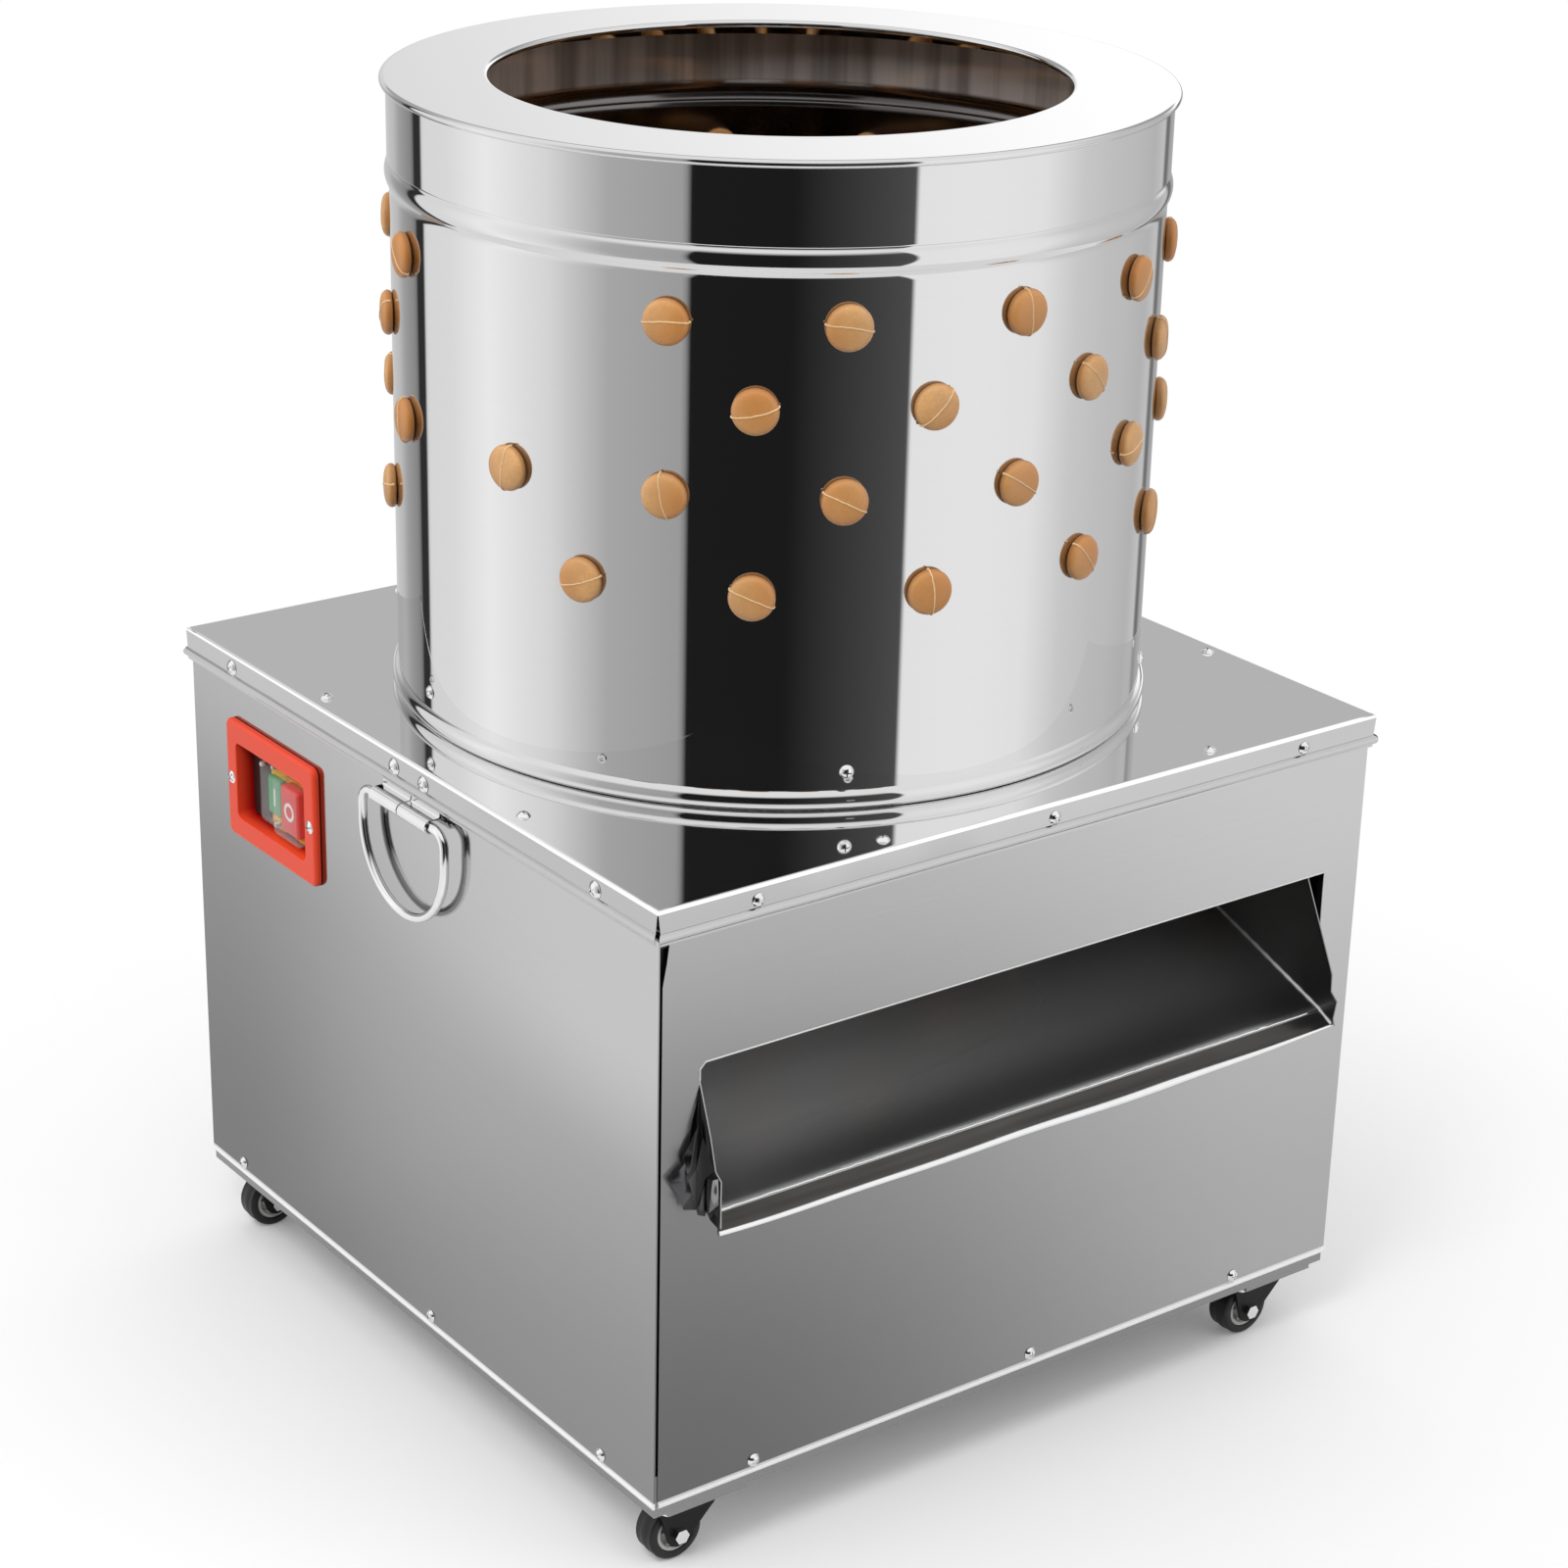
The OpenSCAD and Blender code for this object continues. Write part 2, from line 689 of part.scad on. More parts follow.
module feather_chute() color("gainsboro") on_axis() {
    drop = chute_sheet/cos(chute_slope);
    fold_y = -half_d - lip_fold;
    fold_z = floor_z(fold_y);
    edge = [cheek_short/2 - half_d - lip_reach, fold_z - lip_drop];
    left = chute_left - chute_sheet;
    right = chute_right + chute_sheet;
    top = under_cover - seat_gap;
    rear = chute_rear + chute_sheet;
    ear_y = -half_d - ear_off;
    difference() {
        union() {
            along_x(left, right - left) polygon([
                edge, [fold_y, fold_z], [rear - chute_sheet/2, floor_z(rear - chute_sheet/2)],
                [rear - chute_sheet/2, floor_z(rear - chute_sheet/2) - drop],
                [fold_y + chute_sheet/2, fold_z - drop], edge + [drop, -drop/2]]);
            for (c = [[left, opening_cut, cheek_short, cheek_foot[0]],
                    [chute_right, 0, 0, cheek_foot[1]]]) {
                nose_y = c[2] - half_d - lip_reach;
                nose = [nose_y, floor_z(nose_y)];
                cheek_top = opening_top - cheek_gap - c[1];
                along_x(c[0], chute_sheet) polygon([
                    [fold_y, fold_z - drop/2], nose - [0, c[3]], nose + cheek_nose[0], nose + cheek_nose[1],
                    [-half_d, cheek_top], [-frame_d, cheek_top], [cheek_inner - frame_d, top],
                    [rear, top], [rear, floor_z(chute_rear) - drop/2],
                    [chute_rear, floor_z(chute_rear) - drop/2]]);
            }
            block([left, chute_rear, floor_z(chute_rear) - drop], [right, rear, top]);
            along_y(ear_y, chute_sheet) translate([left, floor_z(ear_y)]) polygon([
                [chute_sheet/2, ear_h], [-0.43*ear_w, 0.61*ear_h], [-ear_w, 0.4*ear_h],
                [-0.64*ear_w, -ear_foot/5], [-0.27*ear_w, -0.7*ear_foot], [chute_sheet/2, -ear_foot]]);
            intersection() {
                translate([0, 0, chute_z])
                    ring(tube_d/2 + pipe_t + over, tube_d/2 + over, pipe_top - chute_z);
                along_x(-tube_d, 2*tube_d) polygon([
                    [-tube_d, floor_z(-tube_d) - drop/2], [tube_d, floor_z(tube_d) - drop/2],
                    [tube_d, pipe_top], [-tube_d, pipe_top]]);
            }
        }
        translate([0, 0, chute_z]) cylinder(r = tube_d/2 + over, h = pipe_top - chute_z + over);
    }
}

// Drum

// Bulge of a wall of radius r, of chord h and height out around z, as a profile for a turned shell
module wall_bead(z, h, out, t) {
    r = (pow(h/2, 2) + pow(out, 2))/(2*out);
    difference() {
        children();
        translate([drum_r + out - r, z]) circle(r = r - t);
    }
    difference() {
        intersection() {
            translate([drum_r + out - r, z]) circle(r = r);
            translate([drum_r - t, z - h/2]) square([2*r, h]);
        }
        translate([drum_r + out - r, z]) circle(r = r - t);
    }
}

module drum_shell() color("silver") on_axis() difference() {
    rotate_extrude()
        wall_bead(bead_z, bead_h, bead_out, drum_wall)
        wall_bead(cover_z + foot_bead_h/2, foot_bead_h, foot_bead_out, drum_wall)
        translate([drum_r - drum_wall, cover_z]) square([drum_wall, shell_top - cover_z]);
    for (p = drum_places) rotate([0, 0, p[0]]) translate([drum_r - head_d, 0, cover_z + p[1]])
        rotate([0, 90, 0]) cylinder(d = finger_hole_d, h = 2*head_d);
    place(drum_screws) screw_hole();
}

module drum_collar() color("silver") on_axis()
    translate([0, 0, collar_z]) ring(drum_r + fit_gap + drum_wall, drum_r + fit_gap, collar_h);

module feed_ring() color("silver") on_axis() {
    roll_out = drum_r + ring_roll_r + run_gap;
    roll_in = feed_d/2 + ring_roll_r;
    neck = 6;
    skirt_r = drum_r - drum_wall - fit_gap;
    rotate_extrude() {
        translate([roll_in, lid_z - ring_sheet]) square([roll_out - roll_in, ring_sheet]);
        translate([roll_out, lid_z - ring_roll_r]) circle(r = ring_roll_r);
        translate([roll_in, lid_z - ring_roll_r]) circle(r = ring_roll_r);
        translate([feed_d/2, lid_z - ring_roll_r - neck]) square([2*ring_roll_r, neck]);
        translate([skirt_r - drum_wall, lid_z - skirt_h]) square([drum_wall, skirt_h - ring_sheet/2]);
    }
}

// Rubber finger in a wall of thickness t: outer face at z = 0, head above it, ribbed shank below
module finger(t) {
    head_r = head_d/2;
    rim = 4.5;
    dome_r = (pow(head_r, 2) + pow(head_h - rim, 2))/(2*(head_h - rim));
    seat = -t - flange_gap;
    root = seat - 5;
    tip_r = 6.5;
    shank_r = 9;
    tip = -finger_l + tip_r;
    rib_out = 1.2;
    rib_first = root - 6;
    rib_step = (rib_first - tip - 4)/finger_ribs;
    function taper(z) = shank_r + (tip_r - shank_r)*(rib_first - z)/(rib_first - tip);
    ribs = [for (i = [0:finger_ribs - 1], p = [0, 1, 2])
        let (z = rib_first - rib_step*i - 2*p) [taper(z) + (p == 1 ? rib_out : 0), z]];
    rotate_extrude() {
        intersection() {
            translate([0, head_h - dome_r]) circle(r = dome_r);
            translate([0, 0.1]) square([head_r, head_h]);
        }
        translate([0, root]) square([finger_neck_r, 0.6 - root]);
        polygon(concat([[0, seat], [finger_flange_d/2, seat], [finger_flange_d/2, root]], ribs,
            [[tip_r, tip], [0, tip]]));
        intersection() {
            translate([0, tip]) circle(r = tip_r);
            translate([0, tip - tip_r]) square([tip_r, 2*tip_r]);
        }
    }
}

module drum_fingers() color("peru") on_axis() {
    for (p = drum_places) rotate([0, 0, p[0]]) translate([drum_r, 0, cover_z + p[1]])
        rotate([0, 90, 0]) finger(drum_wall);
}

// Turning group on the main shaft

module turntable() color("silver") on_axis() difference() {
    translate([0, 0, turntable_z]) cylinder(d = turntable_d, h = turntable_t);
    translate([0, 0, turntable_z - over]) {
        cylinder(r = shaft_end_r + hole_gap, h = turntable_t + 2*over);
        for (p = table_places) translate([p[0], p[1], 0])
            cylinder(d = finger_hole_d, h = turntable_t + 2*over);
        for (p = hub_places) translate([p[0], p[1], 0])
            cylinder(r = bolt_r + hole_gap, h = turntable_t + 2*over);
    }
}

module turntable_hub() color("lightgray") on_axis() difference() {
    union() {
        translate([0, 0, hub_z]) cylinder(r = hub_boss_r, h = turntable_z - hub_z);
        translate([0, 0, turntable_z - hub_flange_t]) cylinder(d = hub_flange_d, h = hub_flange_t);
    }
    translate([0, 0, hub_z - over]) cylinder(r = shaft_r + fit_gap, h = turntable_z - hub_z + 2*over);
    for (p = hub_places) translate([p[0], p[1], turntable_z - hub_flange_t - over])
        cylinder(r = bolt_r + hole_gap, h = hub_flange_t + 2*over);
}

module turntable_fingers() color("peru") on_axis() {
    for (p = table_places) translate([p[0], p[1], turntable_z]) rotate([180, 0, 0]) finger(turntable_t);
}

module hub_bolts() color("gray") on_axis() {
    for (p = hub_places) translate([p[0], p[1], 0]) hex_bolt(turntable_top, turntable_z - hub_flange_t);
    translate([0, 0, turntable_top]) difference() {
        union() {
            cylinder(r = shaft_r + 10, h = washer_t);
            translate([0, 0, washer_t]) cylinder(r = shaft_r + 4, h = nut_h, $fn = 6);
        }
        translate([0, 0, -over]) cylinder(r = shaft_end_r + fit_gap, h = washer_t + nut_h + 2*over);
    }
}

module main_shaft() color("lightgray") on_axis() {
    translate([0, 0, shaft_bottom]) cylinder(r = shaft_r, h = turntable_z - shaft_bottom);
    translate([0, 0, turntable_z]) cylinder(r = shaft_end_r, h = turntable_t + washer_t + nut_h + 4);
}

module bearing_tube() color("slategray") on_axis() difference() {
    union() {
        translate([0, 0, deck_top]) cylinder(d = tube_d, h = tube_top - deck_top);
        translate([0, 0, deck_top]) cylinder(r = tube_flange_r, h = tube_flange_t);
    }
    translate([0, 0, deck_top - over]) cylinder(r = bearing_r - 3, h = tube_top - deck_top + 2*over);
    translate([0, 0, deck_top - over]) cylinder(r = bearing_r + fit_gap, h = bearing_w + over);
    translate([0, 0, upper_bearing_z])
        cylinder(r = bearing_r + fit_gap, h = tube_top - upper_bearing_z + over);
    bolt_holes();
}

module bearing_outer_races() color("lightgray") on_axis() {
    for (z = [deck_top, upper_bearing_z]) translate([0, 0, z])
        ring(bearing_r, inner_race_r + run_gap, bearing_w);
}

module bearing_inner_races() color("lightgray") on_axis() {
    for (z = [deck_top, upper_bearing_z]) translate([0, 0, z])
        ring(inner_race_r, shaft_r + fit_gap, bearing_w);
}

module shaft_seal() color("black") on_axis()
    translate([0, 0, tube_top - seal_h + run_gap]) ring(bearing_r, shaft_r + run_gap, seal_h - run_gap);

// V-groove pulley of pitch radius r on a bore of radius bore
module pulley(r, bore, boss_r, boss_h) {
    half_groove = function (u) belt_top/2 - (belt_out - u)*tan(belt_flank) + belt_gap;
    rotate_extrude() difference() {
        union() {
            translate([bore, -pulley_w/2]) square([r + pulley_edge - bore, pulley_w]);
            translate([bore, -pulley_w/2 - boss_h]) square([boss_r - bore, pulley_w + boss_h]);
        }
        polygon([
            [r + pulley_edge + over, half_groove(pulley_edge + over)],
            [r - groove_in, half_groove(-groove_in)],
            [r - groove_in, -half_groove(-groove_in)],
            [r + pulley_edge + over, -half_groove(pulley_edge + over)]]);
    }
}

module drive_pulley() color("darkslategray") on_axis() {
    web_r = (drive_r + shaft_r)/2;
    difference() {
        translate([0, 0, belt_z]) pulley(drive_r, shaft_r + fit_gap, shaft_r + 14, 12);
        for (a = [0:72:288]) rotate([0, 0, a]) translate([web_r, 0, belt_z - pulley_w])
            cylinder(r = 18, h = 2*pulley_w);
    }
}

module motor_pulley() color("darkslategray") on_axis()
    translate([0, motor_y, belt_z]) pulley(motor_r, motor_shaft_r + fit_gap, motor_shaft_r + 7, 8);

// Belt swept round both pulleys: stations are [middle, radius, angle], corners lie off the pitch line
module v_belt() color("black") on_axis() translate([0, 0, belt_z]) {
    wrap = 180 + 2*belt_tilt;
    stations = concat(
        [for (i = [0:belt_steps]) [0, drive_r, 180 - belt_tilt + wrap*i/belt_steps]],
        [for (i = [0:belt_steps]) [motor_y, motor_r, belt_tilt + (360 - wrap)*i/belt_steps]]);
    corners = [[belt_out, -belt_top/2], [belt_out, belt_top/2], [-belt_in, belt_half_inner],
        [-belt_in, -belt_half_inner]];
    n = len(stations);
    points = [for (s = stations, c = corners)
        [(s[1] + c[0])*cos(s[2]), s[0] + (s[1] + c[0])*sin(s[2]), c[1]]];
    faces = [for (i = [0:n - 1], j = [0:3], half = [0, 1])
        let (k = (j + 1) % 4, next = (i + 1) % n)
        half == 0 ? [4*i + j, 4*i + k, 4*next + k] : [4*i + j, 4*next + k, 4*next + j]];
    polyhedron(points, faces);
}

module motor_body() color("steelblue") on_axis() translate([0, motor_y, 0]) difference() {
    union() {
        translate([0, 0, deck_top]) cylinder(r = motor_flange_r, h = motor_flange_t);
        translate([0, 0, motor_base]) cylinder(d = motor_d - 10, h = neck_h + over);
        translate([0, 0, motor_base + neck_h]) cylinder(d = motor_d, h = motor_l - neck_h);
        translate([0, 0, motor_top - shield_h]) cylinder(r = fan_cover_r, h = shield_h);
        translate([0, 0, motor_top - shield_h/2])
            cylinder(r = fan_cover_r - fan_cover_t - fit_gap, h = 1.5*shield_h);
        for (i = [0:fin_count - 1]) rotate([0, 0, 360*(i + 0.5)/fin_count])
            block([motor_d/2 - 3, -1.5, motor_base + neck_h + over],
                [motor_d/2 + fin_out - 2, 1.5, motor_top - shield_h + over]);
        block([0, -terminal_w/2, terminal_z], [pad_x, terminal_w/2, terminal_z + terminal_h]);
    }
    translate([0, 0, deck_top - over]) cylinder(r = motor_shaft_r + run_gap, h = fan_z - deck_top + over);
    translate([0, -motor_y, 0]) bolt_holes();
    for (a = [45:90:315]) rotate([0, 0, a]) translate([motor_bolt_r, 0, motor_base])
        cylinder(r = bolt_head_r + 1, h = 2*bolt_head_h);
}

module motor_rotor() color("lightgray") on_axis() translate([0, motor_y, 0]) {
    translate([0, 0, shaft_bottom]) cylinder(r = motor_shaft_r, h = fan_z + fan_h + 4 - shaft_bottom);
    translate([0, 0, fan_z]) cylinder(r = fan_hub_r, h = fan_h);
    for (a = [0:60:300]) rotate([0, 0, a])
        block([fan_hub_r - 4, -1.5, fan_z + 1], [fan_cover_r - 8, 1.5, fan_z + fan_h - 1]);
}

module motor_fan_cover() color("dimgray") on_axis() translate([0, motor_y, motor_top]) difference() {
    cylinder(r = fan_cover_r, h = fan_cover_h);
    translate([0, 0, -over])
        cylinder(r = fan_cover_r - fan_cover_t, h = fan_cover_h - fan_cover_t + over);
    for (r = [24:12:fan_cover_r - 14], a = [0:45:315]) rotate([0, 0, a + r]) translate([r, 0, 0])
        cylinder(r = 3, h = 2*fan_cover_h);
}

module motor_terminal_box() color("dimgray") on_axis() translate([pad_x, motor_y, terminal_z]) {
    block([0, -terminal_w/2, 0], [terminal_d - 8, terminal_w/2, terminal_h]);
    block([terminal_d - 8, -terminal_w/2 - 2, -2], [terminal_d, terminal_w/2 + 2, terminal_h + 2]);
}

module cable_gland() color("black") on_axis()
    translate([gland_at[0], half_d, gland_at[1]]) rotate([-90, 0, 0]) difference() {
        union() {
            cylinder(r = gland_r, h = 6, $fn = 6);
            translate([0, 0, 6]) cylinder(r = gland_r - 2, h = gland_reach - 6);
            translate([0, 0, -12]) cylinder(r = gland_bore_r + 2.5, h = 12 + over);
            translate([0, 0, -sheet - 5]) cylinder(r = gland_r, h = 5, $fn = 6);
        }
        translate([0, 0, -12 - over]) cylinder(r = gland_bore_r, h = gland_reach + 12 + 2*over);
    }

// Switch

// Box in the switch's own place: x from the first to the second value, y and z around the middle
module switch_box(x0, x1, w, h, y) translate([0, switch_y + y, switch_z])
    block([x0, -w/2, -h/2], [x1, w/2, h/2]);

module switch_bezel() color("orangered") on_axis() difference() {
    union() {
        switch_box(-half_w - bezel_t, -half_w, bezel_w, bezel_h, 0);
        switch_box(-half_w - over, recess_back + bezel_wall, recess_w + 2*bezel_wall,
            recess_h + 2*bezel_wall, 0);
    }
    switch_box(-half_w - bezel_t - over, recess_back, recess_w, recess_h, 0);
    switch_box(recess_back - over, recess_back + bezel_wall + over, body_w + 2*run_gap,
        body_h + 2*run_gap, plate_shift);
    for (s = [-1, 1]) translate([-half_w - bezel_t - over, switch_y + s*bezel_screw_y, switch_z])
        rotate([0, 90, 0]) cylinder(d = screw_head_d + 3, h = bezel_pocket + over);
    place(bezel_screws) screw_hole();
}

module switch_body() color("#1c1c1e") on_axis() difference() {
    union() {
        switch_box(recess_back - body_flange_t, recess_back, recess_w - 4, recess_h - 4, 0);
        switch_box(recess_back - over, recess_back + body_depth, body_w, body_h, plate_shift);
    }
    for (i = [0, 1]) switch_box(recess_back - body_flange_t - over, recess_back + pocket_depth,
        button_w[i] + 2*run_gap, button_h[i] + 2*run_gap, [start_y, stop_y][i]);
}

module switch_plate() color("gold") on_axis() difference() {
    switch_box(recess_back - body_flange_t - plate_t, recess_back - body_flange_t, plate_w, plate_h,
        plate_shift);
    for (i = [0, 1]) switch_box(recess_back - body_flange_t - plate_t - over, recess_back,
        button_w[i] + 2*run_gap, button_h[i] + 2*run_gap, [start_y, stop_y][i]);
}

// Push button number i: 0 starts, 1 stops
module push_button(i) switch_box(recess_back - body_flange_t - plate_t - button_out[i],
    recess_back + pocket_depth - button_travel - run_gap, button_w[i], button_h[i], [start_y, stop_y][i]);

module start_button() color("limegreen") on_axis() push_button(0);

module stop_button() color("red") on_axis() push_button(1);

module switch_boot() color("lightcyan") on_axis() {
    face = recess_back - body_flange_t - plate_t;
    difference() {
        for (i = [0, 1]) switch_box(face - button_out[i] - boot_room - boot_t, face,
            button_w[i] + 2*boot_room + 2*boot_t + 4, button_h[1] + 2*boot_room + 2*boot_t,
            [start_y, stop_y][i]);
        for (i = [0, 1]) switch_box(face - button_out[i] - boot_room, face + over,
            button_w[i] + 2*boot_room + 4, button_h[1] + 2*boot_room, [start_y, stop_y][i]);
    }
}

// Handles

// Wire bent through an arc in the ring's plane, from angle a0 on; 0 points along +Y and 90 up
module wire_arc(r, a0, sweep) rotate([90, 0, 90]) rotate([0, 0, a0]) rotate_extrude(angle = sweep)
    translate([r, 0]) circle(r = wire_r);

// Wire ring hanging from its bar at the origin
module handle_ring() {
    rotate([90, 0, 0]) cylinder(r = wire_r, h = 2*(bend_r - corner_r), center = true);
    for (s = [0, 1]) {
        translate([0, (2*s - 1)*(bend_r - corner_r), -corner_r]) wire_arc(corner_r, 90*(1 - s), 90);
        translate([0, (2*s - 1)*bend_r, -handle_leg]) cylinder(r = wire_r, h = handle_leg - corner_r);
    }
    translate([0, 0, -handle_leg]) wire_arc(bend_r, 180, 180);
}

module left_handle_ring() color("lightgray") on_axis()
    translate([-half_w - handle_off, handle_y, bar_z]) handle_ring();

module right_handle_ring() color("lightgray") on_axis()
    translate([half_w + handle_off, handle_y, bar_z]) handle_ring();

// Strap clip of the right side: a loop round the bar, a shelf to the panel and a tab behind the rim
module strap_clip() along_y(-strap_w/2, strap_w) {
    tab_x = half_w + tab_off;
    shelf_z = bar_z + loop_r;
    difference() {
        union() {
            translate([half_w + handle_off, bar_z]) circle(r = loop_r + strap_t);
            translate([tab_x, shelf_z]) square([handle_off - tab_off, strap_t]);
        }
        translate([half_w + handle_off, bar_z]) circle(r = loop_r);
    }
    translate([tab_x, shelf_z]) square([strap_t, tab_top - shelf_z]);
}

module handle_straps() color("lightgray") on_axis() difference() {
    for (side = [0, 1], y = strap_y) mirror([side, 0, 0]) translate([0, y, 0]) strap_clip();
    place(rim_screws) screw_hole();
}

// Casters: number 0 front left, 1 front right, 2 rear left, 3 rear right

module caster_plates() color("dimgray") on_axis() difference() {
    for (c = caster_at) translate([c[0], c[1], 0]) {
        block([-caster_plate/2, -caster_plate_d/2, caster_h - caster_plate_t],
            [caster_plate/2, caster_plate_d/2, caster_h]);
        translate([0, 0, bridge_z - run_gap]) cylinder(r = king_pin_r, h = caster_h - bridge_z);
        translate([0, 0, bridge_z - run_gap - 2]) cylinder(r = king_pin_r + 2.5, h = 2);
    }
    bolt_holes();
}

module at_caster(i) translate([caster_at[i][0], caster_at[i][1], 0]) children();

// Place of the axle, turned so that z runs along it
module at_axle(i) at_caster(i) translate([-caster_trail, 0, wheel_r]) rotate([90, 0, 0]) children();

module caster_fork(i) color("#26262a") on_axis() difference() {
    at_caster(i) {
        translate([0, 0, bridge_top]) cylinder(r = king_pin_r + 8, h = race_t);
        block([-bridge_half, -fork_in - fork_t, bridge_z], [bridge_half, fork_in + fork_t, bridge_top]);
        for (y = [-fork_in - fork_t, fork_in]) along_y(y, fork_t) {
            polygon([[-bridge_half, bridge_top], [bridge_half, bridge_top],
                [bridge_half, shoulder_z], [fork_front, shoulder_z],
                [fork_eye_r - caster_trail, wheel_r], [-fork_eye_r - caster_trail, wheel_r],
                [-fork_rear, shoulder_z], [-bridge_half, shoulder_z]]);
            translate([-caster_trail, wheel_r]) circle(r = fork_eye_r);
        }
    }
    at_caster(i) translate([0, 0, bridge_z - over]) cylinder(r = king_pin_r + run_gap, h = caster_h);
    at_axle(i) cylinder(r = axle_r + fit_gap, h = 4*wheel_w, center = true);
}

module caster_axle(i) color("lightgray") on_axis() at_axle(i) {
    reach = fork_in + fork_t;
    cylinder(r = axle_r, h = 2*reach, center = true);
    translate([0, 0, reach]) cylinder(r = axle_r + 3, h = 4, $fn = 6);
    translate([0, 0, -reach - 4]) cylinder(r = axle_r + 3, h = 4, $fn = 6);
}

module wheel_hub(i) color("gainsboro") on_axis() at_axle(i) {
    rotate_extrude() {
        translate([axle_r + run_gap/2, -wheel_w/2 - fork_gap + run_gap])
            square([4, wheel_w + 2*fork_gap - 2*run_gap]);
        translate([axle_r + run_gap/2, -wheel_w/6]) square([rim_r - axle_r - run_gap/2, wheel_w/3]);
        translate([rim_r - 3, -wheel_w/2 + 1]) square([3, wheel_w - 2]);
    }
}

module wheel_tyre(i) color("#202020") on_axis() at_axle(i) {
    edge = 2.5;
    rotate_extrude() difference() {
        union() {
            translate([rim_r + fit_gap, -wheel_w/2]) square([wheel_r - edge - rim_r, wheel_w]);
            translate([rim_r + fit_gap, edge - wheel_w/2])
                square([wheel_r - rim_r - fit_gap, wheel_w - 2*edge]);
            for (s = [-1, 1]) translate([wheel_r - edge, s*(wheel_w/2 - edge)]) circle(r = edge);
        }
        translate([0, -wheel_w]) square([rim_r + fit_gap, 2*wheel_w]);
    }
}

base_frame();
frame_uprights();
top_frame();
drive_deck();
front_panel();
left_panel();
right_panel();
rear_panel();
top_cover();
sheet_screws();
frame_bolts();
feather_chute();
drum_shell();
drum_collar();
feed_ring();
drum_fingers();
turntable();
turntable_hub();
turntable_fingers();
hub_bolts();
main_shaft();
bearing_tube();
bearing_outer_races();
bearing_inner_races();
shaft_seal();
drive_pulley();
v_belt();
motor_pulley();
motor_body();
motor_rotor();
motor_fan_cover();
motor_terminal_box();
cable_gland();
switch_bezel();
switch_body();
switch_plate();
start_button();
stop_button();
switch_boot();
handle_straps();
left_handle_ring();
right_handle_ring();
caster_plates();
caster_fork(0);  // front_left_fork
caster_fork(1);  // front_right_fork
caster_fork(2);  // rear_left_fork
caster_fork(3);  // rear_right_fork
caster_axle(0);  // front_left_axle
caster_axle(1);  // front_right_axle
caster_axle(2);  // rear_left_axle
caster_axle(3);  // rear_right_axle
wheel_hub(0);  // front_left_hub
wheel_hub(1);  // front_right_hub
wheel_hub(2);  // rear_left_hub
wheel_hub(3);  // rear_right_hub
wheel_tyre(0);  // front_left_tyre
wheel_tyre(1);  // front_right_tyre
wheel_tyre(2);  // rear_left_tyre
wheel_tyre(3);  // rear_right_tyre
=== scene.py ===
import random
from math import asin, atan2, copysign, cos, degrees, hypot, pi, radians, sin, tan

import bmesh
import bpy
import numpy as np
from mathutils import Matrix, Vector


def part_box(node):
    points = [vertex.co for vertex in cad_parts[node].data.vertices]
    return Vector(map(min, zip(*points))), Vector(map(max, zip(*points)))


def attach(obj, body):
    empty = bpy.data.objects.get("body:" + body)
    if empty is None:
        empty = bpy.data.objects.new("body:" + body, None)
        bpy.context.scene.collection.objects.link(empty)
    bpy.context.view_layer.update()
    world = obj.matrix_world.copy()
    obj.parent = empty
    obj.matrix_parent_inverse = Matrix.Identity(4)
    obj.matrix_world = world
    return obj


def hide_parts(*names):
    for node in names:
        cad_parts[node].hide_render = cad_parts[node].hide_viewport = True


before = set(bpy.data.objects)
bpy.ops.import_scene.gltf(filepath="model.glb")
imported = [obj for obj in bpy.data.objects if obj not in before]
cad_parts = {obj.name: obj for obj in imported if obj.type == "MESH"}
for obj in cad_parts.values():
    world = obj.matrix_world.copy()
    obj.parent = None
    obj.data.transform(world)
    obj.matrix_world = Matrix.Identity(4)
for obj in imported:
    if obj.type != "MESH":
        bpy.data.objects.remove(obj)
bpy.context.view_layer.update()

mm = 0.001
dice = random.Random(11)
scene = bpy.context.scene
shaftLow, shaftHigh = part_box("main_shaft")
axis = Vector(((shaftLow.x + shaftHigh.x) / 2, (shaftLow.y + shaftHigh.y) / 2, 0))  # drum's axis on the floor


def span(node):
    low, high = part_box(node)
    return (low - axis) / mm, (high - axis) / mm  # mm around the drum's axis


# shader maths

class Wire:  # one output socket; arithmetic on it adds Math nodes
    def __init__(self, web, socket):
        self.web = web
        self.socket = socket

    def pick(self, name):
        return Wire(self.web, self.socket.node.outputs[name])

    def maths(self, operation, other, swapped=False):
        first, second = (other, self) if swapped else (self, other)
        return self.web.make("Math", {"operation": operation}, {0: first, 1: second})

    def __add__(self, other):
        return self.maths("ADD", other)

    def __radd__(self, other):
        return self.maths("ADD", other, True)

    def __sub__(self, other):
        return self.maths("SUBTRACT", other)

    def __rsub__(self, other):
        return self.maths("SUBTRACT", other, True)

    def __mul__(self, other):
        return self.maths("MULTIPLY", other)

    def __rmul__(self, other):
        return self.maths("MULTIPLY", other, True)

    def __truediv__(self, other):
        return self.maths("DIVIDE", other)

    def __rtruediv__(self, other):
        return self.maths("DIVIDE", other, True)

    def __pow__(self, other):
        return self.maths("POWER", other)

    def __rpow__(self, other):
        return self.maths("POWER", other, True)

    def fade(self, low, high, start=0.0, end=1.0):  # smooth step
        return self.web.make("MapRange", {"interpolation_type": "SMOOTHSTEP"},
                             {0: self, 1: low, 2: high, 3: start, 4: end})


